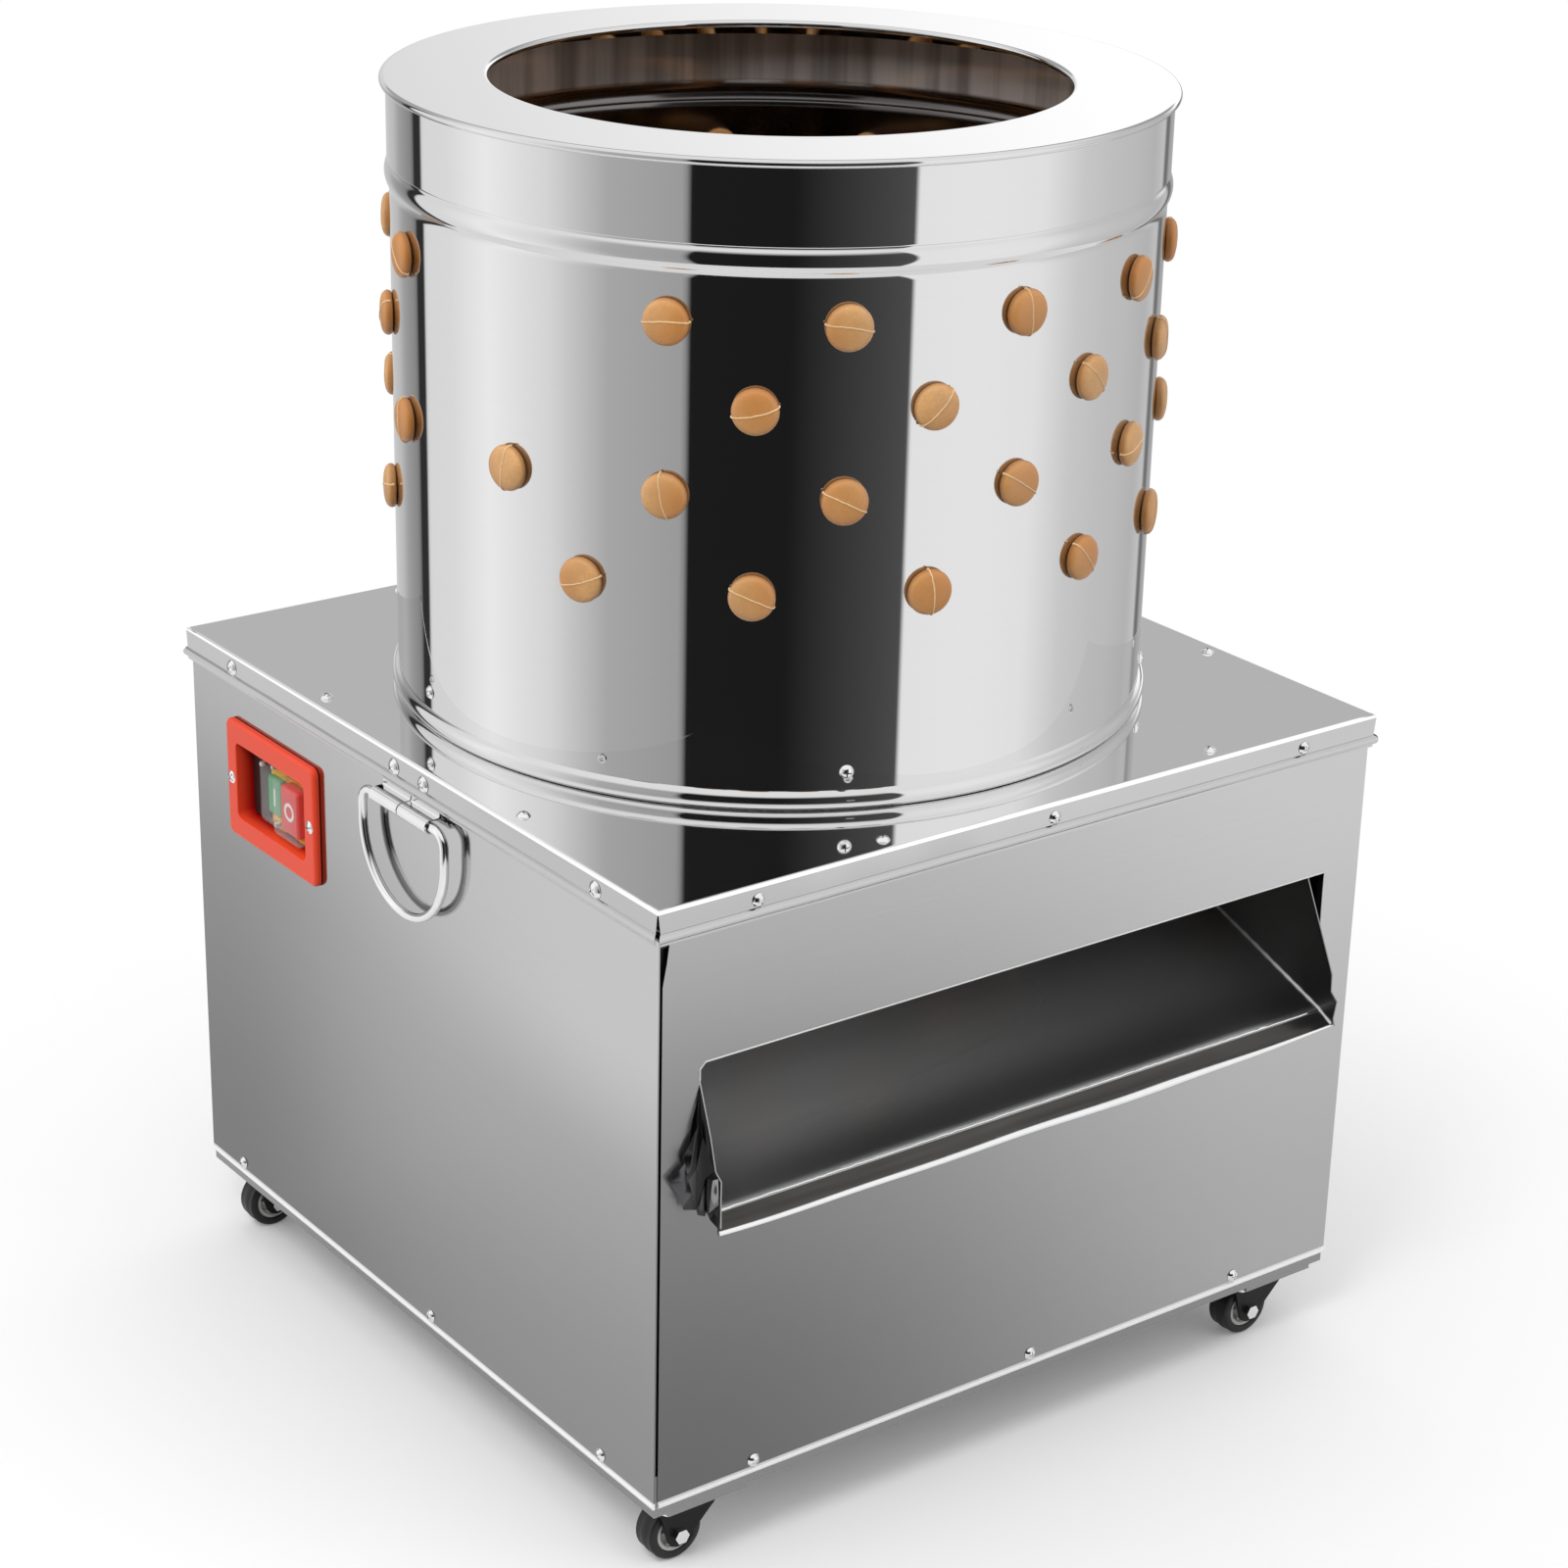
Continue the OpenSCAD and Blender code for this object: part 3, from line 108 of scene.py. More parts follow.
class Web:  # a node tree
    def __init__(self, tree):
        self.tree = tree

    def make(self, kind, settings=None, sockets=None, out=0):
        node = self.tree.nodes.new("ShaderNode" + kind)
        for key, value in (settings or {}).items():
            if key == "stops":
                self.fill(node.color_ramp.elements, value)
            else:
                setattr(node, key, value)
        for key, value in (sockets or {}).items():
            self.feed(node.inputs[key], value)
        return Wire(self, node.outputs[out])

    def feed(self, socket, value):
        if isinstance(value, Wire):
            self.tree.links.new(value.socket, socket)
        else:
            socket.default_value = value

    def fill(self, elements, stops):  # a ramp's places and colours
        for i, (place, colour) in enumerate(stops):
            stop = elements[i] if i < 2 else elements.new(place)
            stop.position, stop.color = place, colour

    def blend(self, share, first, second):
        return self.make("Mix", {"data_type": "RGBA"}, {0: share, 6: first, 7: second}, 2)

    def mottle(self, share, tint, low, high):  # a tint from darker to lighter
        return self.blend(share, shaded(tint, low), shaded(tint, high))

    def vector(self, operation, first, second=None, out=0):
        sockets = {0: first} if second is None else {0: first, 1: second}
        return self.make("VectorMath", {"operation": operation}, sockets, out)

    def point(self, kind="Object"):
        return self.make("TexCoord", out=kind)

    def along(self, letter, source=None):  # one coordinate of the point, or of another vector
        return self.make("SeparateXYZ", None, {0: source or self.point()}, letter)

    def even(self, level):  # grey of one value
        return self.make("CombineColor", None, {0: level, 1: level, 2: level})

    def noise(self, scale, detail=3.0, stretch=(1, 1, 1)):
        place = self.vector("MULTIPLY", self.point(), stretch)
        return self.make("TexNoise", None,
                         {"Vector": place, "Scale": scale, "Detail": detail, "Roughness": 0.55}, "Fac")

    def brushed(self, grain):  # streaks along the grain, and larger clouds
        return self.noise(1.0, 2.0, grain), self.noise(7.0, 4.0)

    def bump(self, height, depth):  # depth in mm
        return self.make("Bump", None, {"Height": height, "Distance": depth * mm, "Strength": 1.0})


def tone(red, green, blue):  # display colour 0-255 to linear
    shares = [c / 255 for c in (red, green, blue)]
    return tuple(c / 12.92 if c < 0.0404 else ((c + 0.055) / 1.055) ** 2.4 for c in shares) + (1,)


def grey(level):
    return level, level, level, 1


def shaded(colour, share, power=1):
    return tuple(c ** power * share for c in colour[:3]) + (1,)


def finish(name, recipe, *values, **named):  # material from a recipe for its shader's sockets
    material = bpy.data.materials.new(name)
    material.use_nodes = True
    web = Web(material.node_tree)
    shader = material.node_tree.nodes["Principled BSDF"]
    for key, value in recipe(web, *values, **named).items():
        web.feed(shader.inputs[key], value)
    return material


def steel(web, tint, roughness, grain, wave, spread=0.05, contrast=0.06):
    streak, cloud = web.brushed(grain)
    return {"Base Color": web.mottle(streak * 0.6 + cloud * 0.4, tint, 1 - contrast, 1 + contrast),
            "Metallic": 1.0,
            "Roughness": (streak + cloud) * spread + (roughness - spread),
            "Normal": web.bump(web.noise(4.5, 1.0), wave)}


horizontalGrain = (3, 3, 420)
# fades of the painted shade towards the rear, the left and the foot, and the band of the hem's painted highlight
sides = {"rear": (-0.24, 0.29), "right": (0.28, -0.30), "top": (0.30, 0.47, 0.44, 0.2),  # fades, in metres
         "foot": (0.42, 0.08, 0.1, 0.3), "frontEnd": (0.12, -0.26), "frontFoot": (0.37, 0.26, 0.0, 0.22),
         "hemTop": (0.0622, 0.0608), "hemFoot": (0.0555, 0.0567), "hemHighlight": 0.9, "hemRough": 0.3,
         "contrast": 0.03, "spread": 0.03, "wave": 0.16}


def sheetSteel(web, tint, roughness):  # cabinet sides: brushed, with painted shade towards one end and the foot and a painted highlight on the hem
    streak, cloud = web.brushed(horizontalGrain)
    height = web.along("Z")
    across, deep = height.pick("X"), height.pick("Y")
    turned = web.along("X", web.make("NewGeometry", out="Normal"))
    sideways = turned * turned
    # painted shade: darker towards the rear of the side panels, the left of the others, and the foot
    shade = sideways * deep.fade(*sides["rear"]) + (1.0 - sideways) * across.fade(*sides["right"])
    shade = shade * height.fade(*sides["top"]) + height.fade(*sides["foot"])
    shade = shade + sideways * deep.fade(*sides["frontEnd"]) * height.fade(*sides["frontFoot"])
    plain = web.mottle(streak * 0.6 + cloud * 0.4, tint, 1 - sides["contrast"], 1 + sides["contrast"])
    # painted highlight: the hem's band is a pale, rougher steel
    hem = height.fade(*sides["hemTop"]) * height.fade(*sides["hemFoot"])
    spread = sides["spread"]
    return {"Base Color": web.blend(hem, web.blend(shade, plain, grey(0)), grey(sides["hemHighlight"])),
            "Metallic": 1.0,
            "Roughness": (streak + cloud) * spread + hem * sides["hemRough"] + (roughness - spread),
            "Normal": web.bump(web.noise(3.2, 1.0), sides["wave"])}


trough = {"inside": (-0.300, -0.215), "dull": (-0.22, 0.26, 1.0, 0.25), "corner": (0.15, 0.24, 0.0, 0.35),
          "mouthTint": 0.36, "insideTint": 0.68, "cornerShade": 0.1, "streakTint": 0.2, "roughness": 0.17}


def chuteSteel(web):  # duller towards the inside, with painted shade towards the right-hand corner
    streak, cloud = web.brushed((5, 120, 120))
    deep = web.along("Y")
    across = deep.pick("X")
    inside = deep.fade(*trough["inside"])
    base = web.blend(inside, grey(trough["mouthTint"]), grey(trough["insideTint"]))
    # painted shade: darker towards the right-hand cheek
    base = web.blend(across.fade(*trough["corner"]), base, grey(trough["cornerShade"]))
    return {"Base Color": web.blend(streak * 0.12, base, grey(trough["streakTint"])),
            "Metallic": 1.0 - inside * across.fade(*trough["dull"]) * 0.5,
            "Roughness": (streak + cloud) * 0.05 + trough["roughness"],
            "Specular IOR Level": 0.3}


# painted shade below the bead and painted light above it, on the same steel
lining = {"below": 0.004, "above": 0.001, "streaks": (0.35, 0.65), "dark": (0.16, 0.148, 0.144, 1),
          "dull": (0.40, 0.385, 0.38, 1), "light": (0.80, 0.785, 0.775, 1)}


def liningSteel(web):  # inside of the drum: painted light above the bead, dull and pale, and painted shade below it, dark
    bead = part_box("drum_collar")[0].z
    streak = web.noise(1.0, 3.0, (60, 60, 2))
    upper = web.along("Z").fade(bead - lining["below"], bead + lining["above"])
    light = web.blend(streak.fade(*lining["streaks"]), lining["dull"], lining["light"])
    # painted shade below the bead, painted light above it
    return {"Base Color": web.blend(upper, lining["dark"], light),
            "Metallic": 1.0 - upper * 0.75,
            "Roughness": streak * 0.12 + 0.10,
            "Normal": web.bump(web.noise(4.5, 1.0), 0.12)}


def creaseSteel(web, cheekShade):  # torn ear of the chute: painted shade outside, near black as painted shadow next to the cheek, and painted light on the side towards the panel so its reflection there stays pale
    cloud = web.noise(60.0, 4.0)
    turned = web.along("Y", web.make("NewGeometry", out="Normal"))
    dark = web.blend(cloud, (0.06, 0.06, 0.063, 1), (0.12, 0.12, 0.125, 1))
    dark = web.blend(web.along("X").fade(*cheekShade), dark, grey(0.006))
    return {"Base Color": web.blend(turned.fade(0.1, 0.4), dark, grey(0.9)),
            "Metallic": 1.0,
            "Roughness": cloud * 0.1 + 0.19}


def plastic(web, tint, roughness, vary=(0.9, 1.06), gloss=0.5, grain=0.03, far=None):
    cloud = web.noise(30.0, 4.0)
    colour = web.mottle(cloud, tint, *vary)
    if far:  # another colour further along one axis: painted shade on the bezel, a printed field on the plate
        letter, start, end, farPrintAndShade = far
        colour = web.blend(web.along(letter).fade(start, end), colour, farPrintAndShade)
    sockets = {"Base Color": colour, "Roughness": cloud * 0.14 + (roughness - 0.07), "Specular IOR Level": gloss}
    if grain:
        sockets["Normal"] = web.bump(web.noise(900.0, 2.0), grain)
    return sockets


domes = {"wall": (0.249, 0.251), "slope": (0.816, 0.134), "shank": 0.3}  # where the painted shade round the domes' edges and on the shanks lies


def rubber(web, tint, roughness, vary=0.0, rim=0.0):  # vary between batches; rim paints shade round the domes' edges and on the shanks
    blotch = web.noise(38.0, 5.0)
    speck = web.noise(520.0, 3.0)
    batch = web.noise(11.0, 1.0).fade(0.36, 0.64)
    plain = web.mottle((speck * 0.5 + blotch).fade(0.6, 1.1), tint, 0.84, 1.1)
    plain = web.blend(batch * vary, plain, shaded(tint, 0.86, 1.5))
    # painted shade: darker round the domes' edges, where they turn away, and on the shanks
    flat = web.vector("MULTIPLY", web.vector("SUBTRACT", web.point(), axis), (1, 1, 0))
    outside = web.vector("LENGTH", flat, out="Value").fade(*domes["wall"])
    slope = web.vector("DOT_PRODUCT", web.vector("NORMALIZE", flat), web.point("Normal"), "Value")
    edge = outside * slope.fade(*domes["slope"]) + (1.0 - outside) * domes["shank"]
    return {"Base Color": web.blend(edge * rim, plain, shaded(tint, 0.6, 1.6)),
            "Roughness": blotch * 0.2 + (roughness - 0.1),
            "Specular IOR Level": 0.45,
            "Normal": web.bump(speck, 0.06)}


def enamel(web, tint, roughness, gloss=0.5):
    worn = web.noise(16.0, 6.0)
    return {"Base Color": web.mottle(worn, tint, 0.85, 1.1),
            "Roughness": worn * 0.16 + (roughness - 0.08),
            "Specular IOR Level": gloss,
            "Normal": web.bump(web.noise(260.0, 2.0), 0.05)}


def clearPlastic(web):
    edge = web.make("LayerWeight", None, {"Blend": 0.3}, "Facing")
    haze = web.noise(60.0, 3.0)
    return {"Base Color": (0.93, 0.95, 0.94, 1),
            "Alpha": edge ** 3 * 0.6 + haze * 0.03 + 0.01,
            "Roughness": haze * 0.1 + 0.04,
            "Specular IOR Level": 0.6}


bezelFront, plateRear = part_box("switch_bezel")[0].x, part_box("switch_plate")[1].y
bezelRecessShade = ("X", bezelFront + 0.002, bezelFront + 0.014, tone(186, 8, 8))  # painted shade: deeper red in the recess and on the sides behind the front
plateField = ("Y", plateRear - 0.0125, plateRear - 0.012, tone(26, 24, 25))  # dark field at the print's rear end
finishes = {
    "drum": finish("drumSteel", steel, grey(0.64), 0.032, horizontalGrain, wave=0.05, spread=0.012, contrast=0.015),
    "lining": finish("liningSteel", liningSteel),
    # painted highlight: white enamel for the bright lines along the front panel's opening and the chute's weld seam
    "weld": finish("paintedHighlightEdge", enamel, tone(246, 246, 246), 0.35),
    # painted light: the cover's top is a paler steel than the drum's, so its reflection in the drum reads brighter
    "cover": finish("coverSteel", steel, grey(0.94), 0.045, (160, 4, 4), wave=0.10, spread=0.015, contrast=0.02),
    # painted shade: the rim, turned down from the same sheet, is a darker steel
    "rim": finish("rimSteel", steel, grey(0.50), 0.10, (4, 4, 160), wave=0.06, spread=0.04),
    "strip": finish("stripSteel", steel, grey(0.28), 0.28, (4, 4, 160), wave=0.06, spread=0.06),
    "panel": finish("panelSteel", sheetSteel, (0.60, 0.60, 0.605, 1), 0.085),
    "front": finish("frontSteel", sheetSteel, (0.60, 0.60, 0.605, 1), 0.26),
    "chute": finish("chuteSteel", chuteSteel),
    # painted shade: the flange, bent from the chute's own sheet, is a near-black steel
    "fold": finish("foldPaintedShadeSteel", steel, (0.062, 0.06, 0.058, 1), 0.2, (5, 160, 160), wave=0.10, spread=0.06,
                   contrast=0.95),
    # painted shade on the ear, darkest towards the cheek
    "crease": finish("creasedSteel", creaseSteel, (-0.266, -0.259, 0.0, 0.8)),
    "table": finish("tableSteel", steel, grey(0.58), 0.20, (40, 40, 40), wave=0.08, spread=0.06),
    "bright": finish("brightSteel", steel, grey(0.78), 0.09, (90, 90, 90), wave=0.02, spread=0.04),
    "shaft": finish("shaftSteel", steel, (0.50, 0.50, 0.51, 1), 0.24, (200, 200, 60), wave=0.02, spread=0.08),
    "iron": finish("pulleyIron", steel, (0.19, 0.19, 0.20, 1), 0.42, (120, 120, 120), wave=0.05, spread=0.12),
    # the fingers get painted shade round their domes
    "finger": finish("fingerRubber", rubber, tone(231, 177, 118), 0.34, vary=0.9, rim=0.6),
    "seam": finish("fingerFlash", rubber, tone(248, 212, 162), 0.5),
    "black": finish("blackRubber", rubber, tone(34, 34, 35), 0.6),
    "tyre": finish("tyreRubber", rubber, tone(16, 16, 17), 0.5),
    "frame": finish("framePaint", enamel, tone(30, 30, 32), 0.5),
    "motor": finish("motorPaint", enamel, tone(62, 92, 128), 0.42),
    "fork": finish("casterPaint", enamel, tone(15, 15, 16), 0.36, gloss=0.22),
    "bezel": finish("bezelPlastic", plastic, tone(255, 80, 48), 0.34, (0.95, 1.04), 0.28, far=bezelRecessShade),
    "switch": finish("switchBlack", plastic, tone(28, 28, 30), 0.4),
    "plate": finish("platePrint", plastic, tone(255, 196, 22), 0.37, (0.94, 1.04), 0.3, grain=0, far=plateField),
    "start": finish("startGreen", plastic, tone(52, 158, 98), 0.34),
    "stop": finish("stopRed", plastic, tone(226, 52, 46), 0.34),
    "mark": finish("markWhite", plastic, tone(238, 236, 232), 0.4),
    "hub": finish("hubGrey", plastic, tone(196, 196, 194), 0.42),
    "clear": finish("bootClear", clearPlastic),
}
nodeFinish = {
    "front": "front_panel", "panel": "left_panel right_panel rear_panel", "strip": "base_frame caster_plates",
    "frame": "frame_uprights top_frame drive_deck bearing_tube", "table": "turntable",
    "bright": "frame_bolts hub_bolts bearing_outer_races bearing_inner_races",
    "shaft": "turntable_hub main_shaft motor_rotor", "black": "shaft_seal v_belt",
    "iron": "drive_pulley motor_pulley", "motor": "motor_body motor_fan_cover motor_terminal_box",
    "switch": "cable_gland",
}
for key, nodes in nodeFinish.items():
    for node in nodes.split():
        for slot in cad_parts[node].material_slots:
            slot.material = finishes[key]
print("stage: finishes")


# meshes

def around(steps):  # cosines and sines of a full turn
    return [(cos(a), sin(a)) for a in (2 * pi * i / steps for i in range(steps))]


class Form:  # points and faces of one piece, in mm around the drum's axis
    def __init__(self):
        self.points = []
        self.faces = []

    def add(self, points, faces, place=Matrix()):
        start = len(self.points)
        self.points += [place @ Vector(p) for p in points]
        self.faces += [[start + i for i in face] for face in faces]
        return self

    def loft(self, loops, place=Matrix(), ring=True, closed=False, caps=False, keep=None):
        size, rows = len(loops[0]), len(loops)
        points = [Vector(p) for loop in loops for p in loop]
        faces = []
        for row in range(rows if closed else rows - 1):
            for i in range(size if ring else size - 1):
                j, after = (i + 1) % size, (row + 1) % rows
                face = (row * size + i, row * size + j, after * size + j, after * size + i)
                if keep is None or keep(sum((points[k] for k in face), Vector()) / 4):
                    faces.append(face)
        if caps:
            faces += [list(range(size))[::-1], [(rows - 1) * size + i for i in range(size)]]
        return self.add(points, faces, place)

    def turned(self, profile, steps, place=Matrix(), closed=False, keep=None):  # (radius, z) about the place's z
        loops = [[(r * c, r * s, z) for r, z in profile] for c, s in around(steps)]
        return self.loft(loops, place, closed, True, False, keep)

    def slab(self, outline, depth, place=Matrix()):  # flat outline drawn out along the place's z
        return self.loft([[(x, y, z) for x, y in outline] for z in (0, depth)], place, caps=True)

    def tube(self, path, radius, sides=14, closed=False, place=Matrix()):
        path = [Vector(p) for p in path]
        count = len(path)
        loops, side = [], None
        for i, point in enumerate(path):
            before = path[i - 1] if i or closed else point
            after = path[(i + 1) % count] if i < count - 1 or closed else point
            ahead = (after - before).normalized()
            side = ahead.orthogonal() if side is None else side - ahead * side.dot(ahead)
            side.normalize()
            other = ahead.cross(side)
            size = radius(i / (count - 1)) if callable(radius) else radius
            loops.append([point + (side * c + other * s) * size for c, s in around(sides)])
        return self.loft(loops, place, True, closed, not closed)


def arc(centre, radius, start, end, steps):  # points on a circle, degrees
    turns = [radians(start + (end - start) * i / steps) for i in range(steps + 1)]
    return [(centre[0] + radius * cos(a), centre[1] + radius * sin(a)) for a in turns]


def roundedBox(width, height, radius, steps=6):  # outline round the origin
    x, y = width / 2 - radius, height / 2 - radius
    return (arc((x, y), radius, 0, 90, steps) + arc((-x, y), radius, 90, 180, steps)
            + arc((-x, -y), radius, 180, 270, steps) + arc((x, -y), radius, 270, 360, steps))


def bulge(r, low, high, out, steps=10):  # (radius, z) points of a bead on a wall of radius r
    chord = (high - low) / 2
    size = (chord * chord + out * out) / (2 * out)
    half = degrees(asin(chord / size))
    return arc((r + out - size, (low + high) / 2), size, -half, half, steps)


meshing = {"weld": 2e-7, "bevelFrom": 50.0, "sharp": 38.0}  # metres, degrees


def meshOf(name, form, bevel=0.0, sharp=meshing["sharp"]):
    work = bmesh.new()
    corners = [work.verts.new(p * mm + axis) for p in form.points]
    for face in form.faces:
        if len(set(face)) > 2:
            work.faces.new([corners[i] for i in face])
    bmesh.ops.remove_doubles(work, verts=work.verts, dist=meshing["weld"])
    bmesh.ops.recalc_face_normals(work, faces=work.faces)
    if bevel:
        least = radians(meshing["bevelFrom"])
        edges = [e for e in work.edges if len(e.link_faces) == 2 and e.calc_face_angle(0) > least]
        bmesh.ops.bevel(work, geom=edges, offset=bevel * mm, segments=2, profile=0.5, affect="EDGES",
                        clamp_overlap=True)
    for face in work.faces:
        face.smooth = True
    mesh = bpy.data.meshes.new(name)
    work.to_mesh(mesh)
    work.free()
    mesh.set_sharp_from_angle(angle=radians(sharp))
    return mesh


def placed(name, data):  # new object in the scene
    made = bpy.data.objects.new(name, data)
    scene.collection.objects.link(made)
    return made


def carve(mesh, cutters):  # mesh with the cutters' space taken out
    body = placed("carved", mesh)
    tools = []
    for form in cutters:
        tool = placed("cutter", meshOf("cutter", form))
        cut = body.modifiers.new("cut", "BOOLEAN")
        cut.object = tool
        cut.solver = "EXACT"
        tools.append(tool)
    graph = bpy.context.evaluated_depsgraph_get()
    carved = bpy.data.meshes.new_from_object(body.evaluated_get(graph))
    for extra in tools + [body]:
        bpy.data.objects.remove(extra)
    carved.polygons.foreach_set("use_smooth", [True] * len(carved.polygons))
    carved.set_sharp_from_angle(angle=radians(meshing["sharp"]))
    return carved


def piece(name, shape, key, body="cabinet", stands=(), bevel=0.0, weighted=False):
    mesh = meshOf(name, shape, bevel) if isinstance(shape, Form) else shape
    made = placed(name, mesh)
    mesh.materials.clear()
    mesh.materials.append(finishes[key])
    if bevel or weighted:
        even = made.modifiers.new("even", "WEIGHTED_NORMAL")
        even.keep_sharp = True
    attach(made, body)
    if stands:
        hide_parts(*stands)
    return made


def looseBoxes(node):  # boxes of a CAD node's separate solids, mm
    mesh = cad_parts[node].data
    points = np.empty(len(mesh.vertices) * 3)
    mesh.vertices.foreach_get("co", points)
    points = points.reshape(-1, 3)
    ends = np.empty(len(mesh.edges) * 2, int)
    mesh.edges.foreach_get("vertices", ends)
    spots, index = np.unique(np.round(points, 5), axis=0, return_inverse=True)
    index = index.reshape(-1)
    first, second = index[ends[0::2]], index[ends[1::2]]
    label = np.arange(len(spots))
    while True:
        before = label.copy()
        low = np.minimum(label[first], label[second])
        np.minimum.at(label, first, low)
        np.minimum.at(label, second, low)
        label = label[label]
        if (label == before).all():
            break
    boxes = [(spots[label == k].min(0), spots[label == k].max(0)) for k in np.unique(label)]
    return [((Vector(low) - axis) / mm, (Vector(high) - axis) / mm) for low, high in boxes]


def facing(place, ahead):  # matrix at place with z along ahead
    ahead = Vector(ahead).normalized()
    side = Vector((0, 0, 1)).cross(ahead)
    side = Vector((1, 0, 0)) if side.length < 1e-6 else side.normalized()
    turn = Matrix((side, ahead.cross(side), ahead)).transposed()
    return Matrix.Translation(Vector(place)) @ turn.to_4x4()


def moved(x, y, z):
    return Matrix.Translation((x, y, z))


def spin(turn):
    return Matrix.Rotation(turn, 4, "Z")


# drum

drum = {"radius": 250.0, "wall": 1.2, "steps": 280, "rows": 78, "hole": 8.0, "footBead": (13.0, 4.0),
        "topBead": (16.0, 3.0), "gap": 0.05, "round": 0.3, "collar": 1.25, "ring": 1.5, "roll": 2.5, "mouth": 186.3}
shellLow, shellHigh = span("drum_shell")
collarLow, collarHigh = span("drum_collar")
ringLow, ringHigh = span("feed_ring")
coverTop, lidTop = shellLow.z, ringHigh.z
fingerPlaces = []
for low, high in looseBoxes("drum_fingers"):
    middle = (low + high) / 2
    fingerPlaces.append((atan2(middle.y, middle.x), middle.z))


def clearOfFingers(point):  # the wall is open where a finger's neck goes through
    turn = atan2(point.y, point.x)
    for angle, height in fingerPlaces:
        across = (turn - angle + pi) % (2 * pi) - pi
        if hypot(across * drum["radius"], point.z - height) < drum["hole"]:
            return False
    return True


radius, wall = drum["radius"], drum["wall"]
beadTop = collarLow.z - 0.5
outer = bulge(radius, coverTop, coverTop + drum["footBead"][0], drum["footBead"][1])
plainLow, plainHigh = outer[-1][1], beadTop - drum["topBead"][0]
outer += [(radius, plainLow + (plainHigh - plainLow) * i / drum["rows"]) for i in range(1, drum["rows"])]
outer += bulge(radius, plainHigh, beadTop, drum["topBead"][1])
outer += [(radius, shellHigh.z)]
inner = [(r - wall, z) for r, z in outer[::-1]]
shell = piece("drumShell", Form().turned(outer + inner, drum["steps"], closed=True, keep=clearOfFingers),
              "drum", stands=["drum_shell"])
shell.data.materials.append(finishes["lining"])
for side in shell.data.polygons:
    flat = (side.center - axis) / mm
    inward = flat.x * side.normal.x + flat.y * side.normal.y < 0
    if inward and hypot(flat.x, flat.y) < radius + drum["footBead"][1]:
        side.material_index = 1

edge, ease = radius + drum["collar"], drum["round"]
seam, foot, head = radius + drum["gap"], collarLow.z, collarHigh.z
collarOuter = [(seam, foot), (edge - 0.2, foot), (edge, foot + ease), (edge, foot + 1),  # flat close to its edges
               (edge, head - 1), (edge, head - ease), (edge - ease, head), (seam, head)]
piece("drumCollar", Form().turned(collarOuter, drum["steps"], closed=True), "drum", stands=["drum_collar"])

roll = drum["roll"]
rollOut, rollIn = ringHigh.x - roll, drum["mouth"] + roll
under, rollTop = lidTop - drum["ring"], lidTop - roll
sleeveOut, sleeveIn = radius - wall - 0.1, radius - 2 * wall
ringProfile = ([(rollOut - 1, lidTop)] + arc((rollOut, rollTop), roll, 90, -160, 12)
               + [(rollOut - 1, under), (sleeveOut, under), (sleeveOut, ringLow.z),
                  (sleeveIn, ringLow.z), (sleeveIn, under), (rollIn + 1, under)]
               + arc((rollIn, rollTop), roll, -20, -180, 8) + arc((rollIn, rollTop), roll, -180, -270, 6)[1:]
               + [(rollIn + 1, lidTop)])
piece("feedRing", Form().turned(ringProfile, drum["steps"], closed=True), "drum", stands=["feed_ring"])
print("stage: drum")


# fingers

finger = {"head": 14.5, "neck": 8.7, "flange": 12.5, "seat": 0.45, "flangeDepth": 5.0, "root": 9.0, "tip": 6.5,
          "length": 78.0, "ribs": 7, "ribOut": 1.3, "seam": 0.62, "lean": 1.4, "shake": 0.2, "steps": 32,
          "rib": ((0, 0), (0.9, 0.75), (1.8, 1.0), (2.7, 0.75), (3.6, 0)),
          "cap": [(0, 8.0), (3, 7.94), (6, 7.74), (8.6, 7.38), (10.8, 6.8), (12.4, 6.1), (13.5, 5.2), (14.2, 4.1),
                  (14.5, 2.9), (14.35, 1.8), (13.9, 0.9), (13.2, 0.3), (12.4, 0.06)]}


def fingerProfile(thickness):
    neck, rim, thick, tip = finger["neck"], finger["flange"], finger["root"], finger["tip"]
    seat = -thickness - finger["seat"]
    root = seat - finger["flangeDepth"]
    flange = [(neck, 0.05), (neck, seat), (rim - 0.5, seat), (rim, seat - 0.6), (rim, root + 0.6), (rim - 0.6, root)]
    shank = [(thick + 0.8, root - 0.4), (thick, root - 1.6)]
    end = -finger["length"] + tip
    first = root - 4
    step = (first - end - 3) / finger["ribs"]
    for i in range(finger["ribs"]):
        for offset, out in finger["rib"]:
            z = first - step * i - offset
            taper = (first - z) / (first - end)
            shank.append((thick + (tip - thick) * taper + out * finger["ribOut"], z))
    nose = [(tip * cos(a), end - tip * sin(a)) for a in (pi / 2 * i / 6 for i in range(7))]
    return finger["cap"] + flange + shank + nose


def seamPath():  # flash line across a head and down its edges, a little crooked
    cap, shake = finger["cap"][:10], finger["shake"]
    lean = dice.uniform(-finger["lean"], finger["lean"])
    path = []
    for end in (-1, 1):
        run = [(end * r, lean * (1 - (r / finger["head"]) ** 2) + dice.uniform(-shake, shake), z) for r, z in cap]
        path += run[::-1] if end < 0 else run[1:]
    return path


def fingers(name, places, thickness, body, node):
    soft, flash = Form(), Form()
    profile = fingerProfile(thickness)
    for place in places:
        spun = place @ spin(dice.uniform(0, pi))
        soft.turned(profile, finger["steps"], spun)
        flash.tube(seamPath(), lambda t: finger["seam"] * (0.8 + 0.7 * abs(2 * t - 1) ** 4), 7, place=spun)
    piece(name, soft, "finger", body, [node])
    piece(name + "Flash", flash, "seam", body)


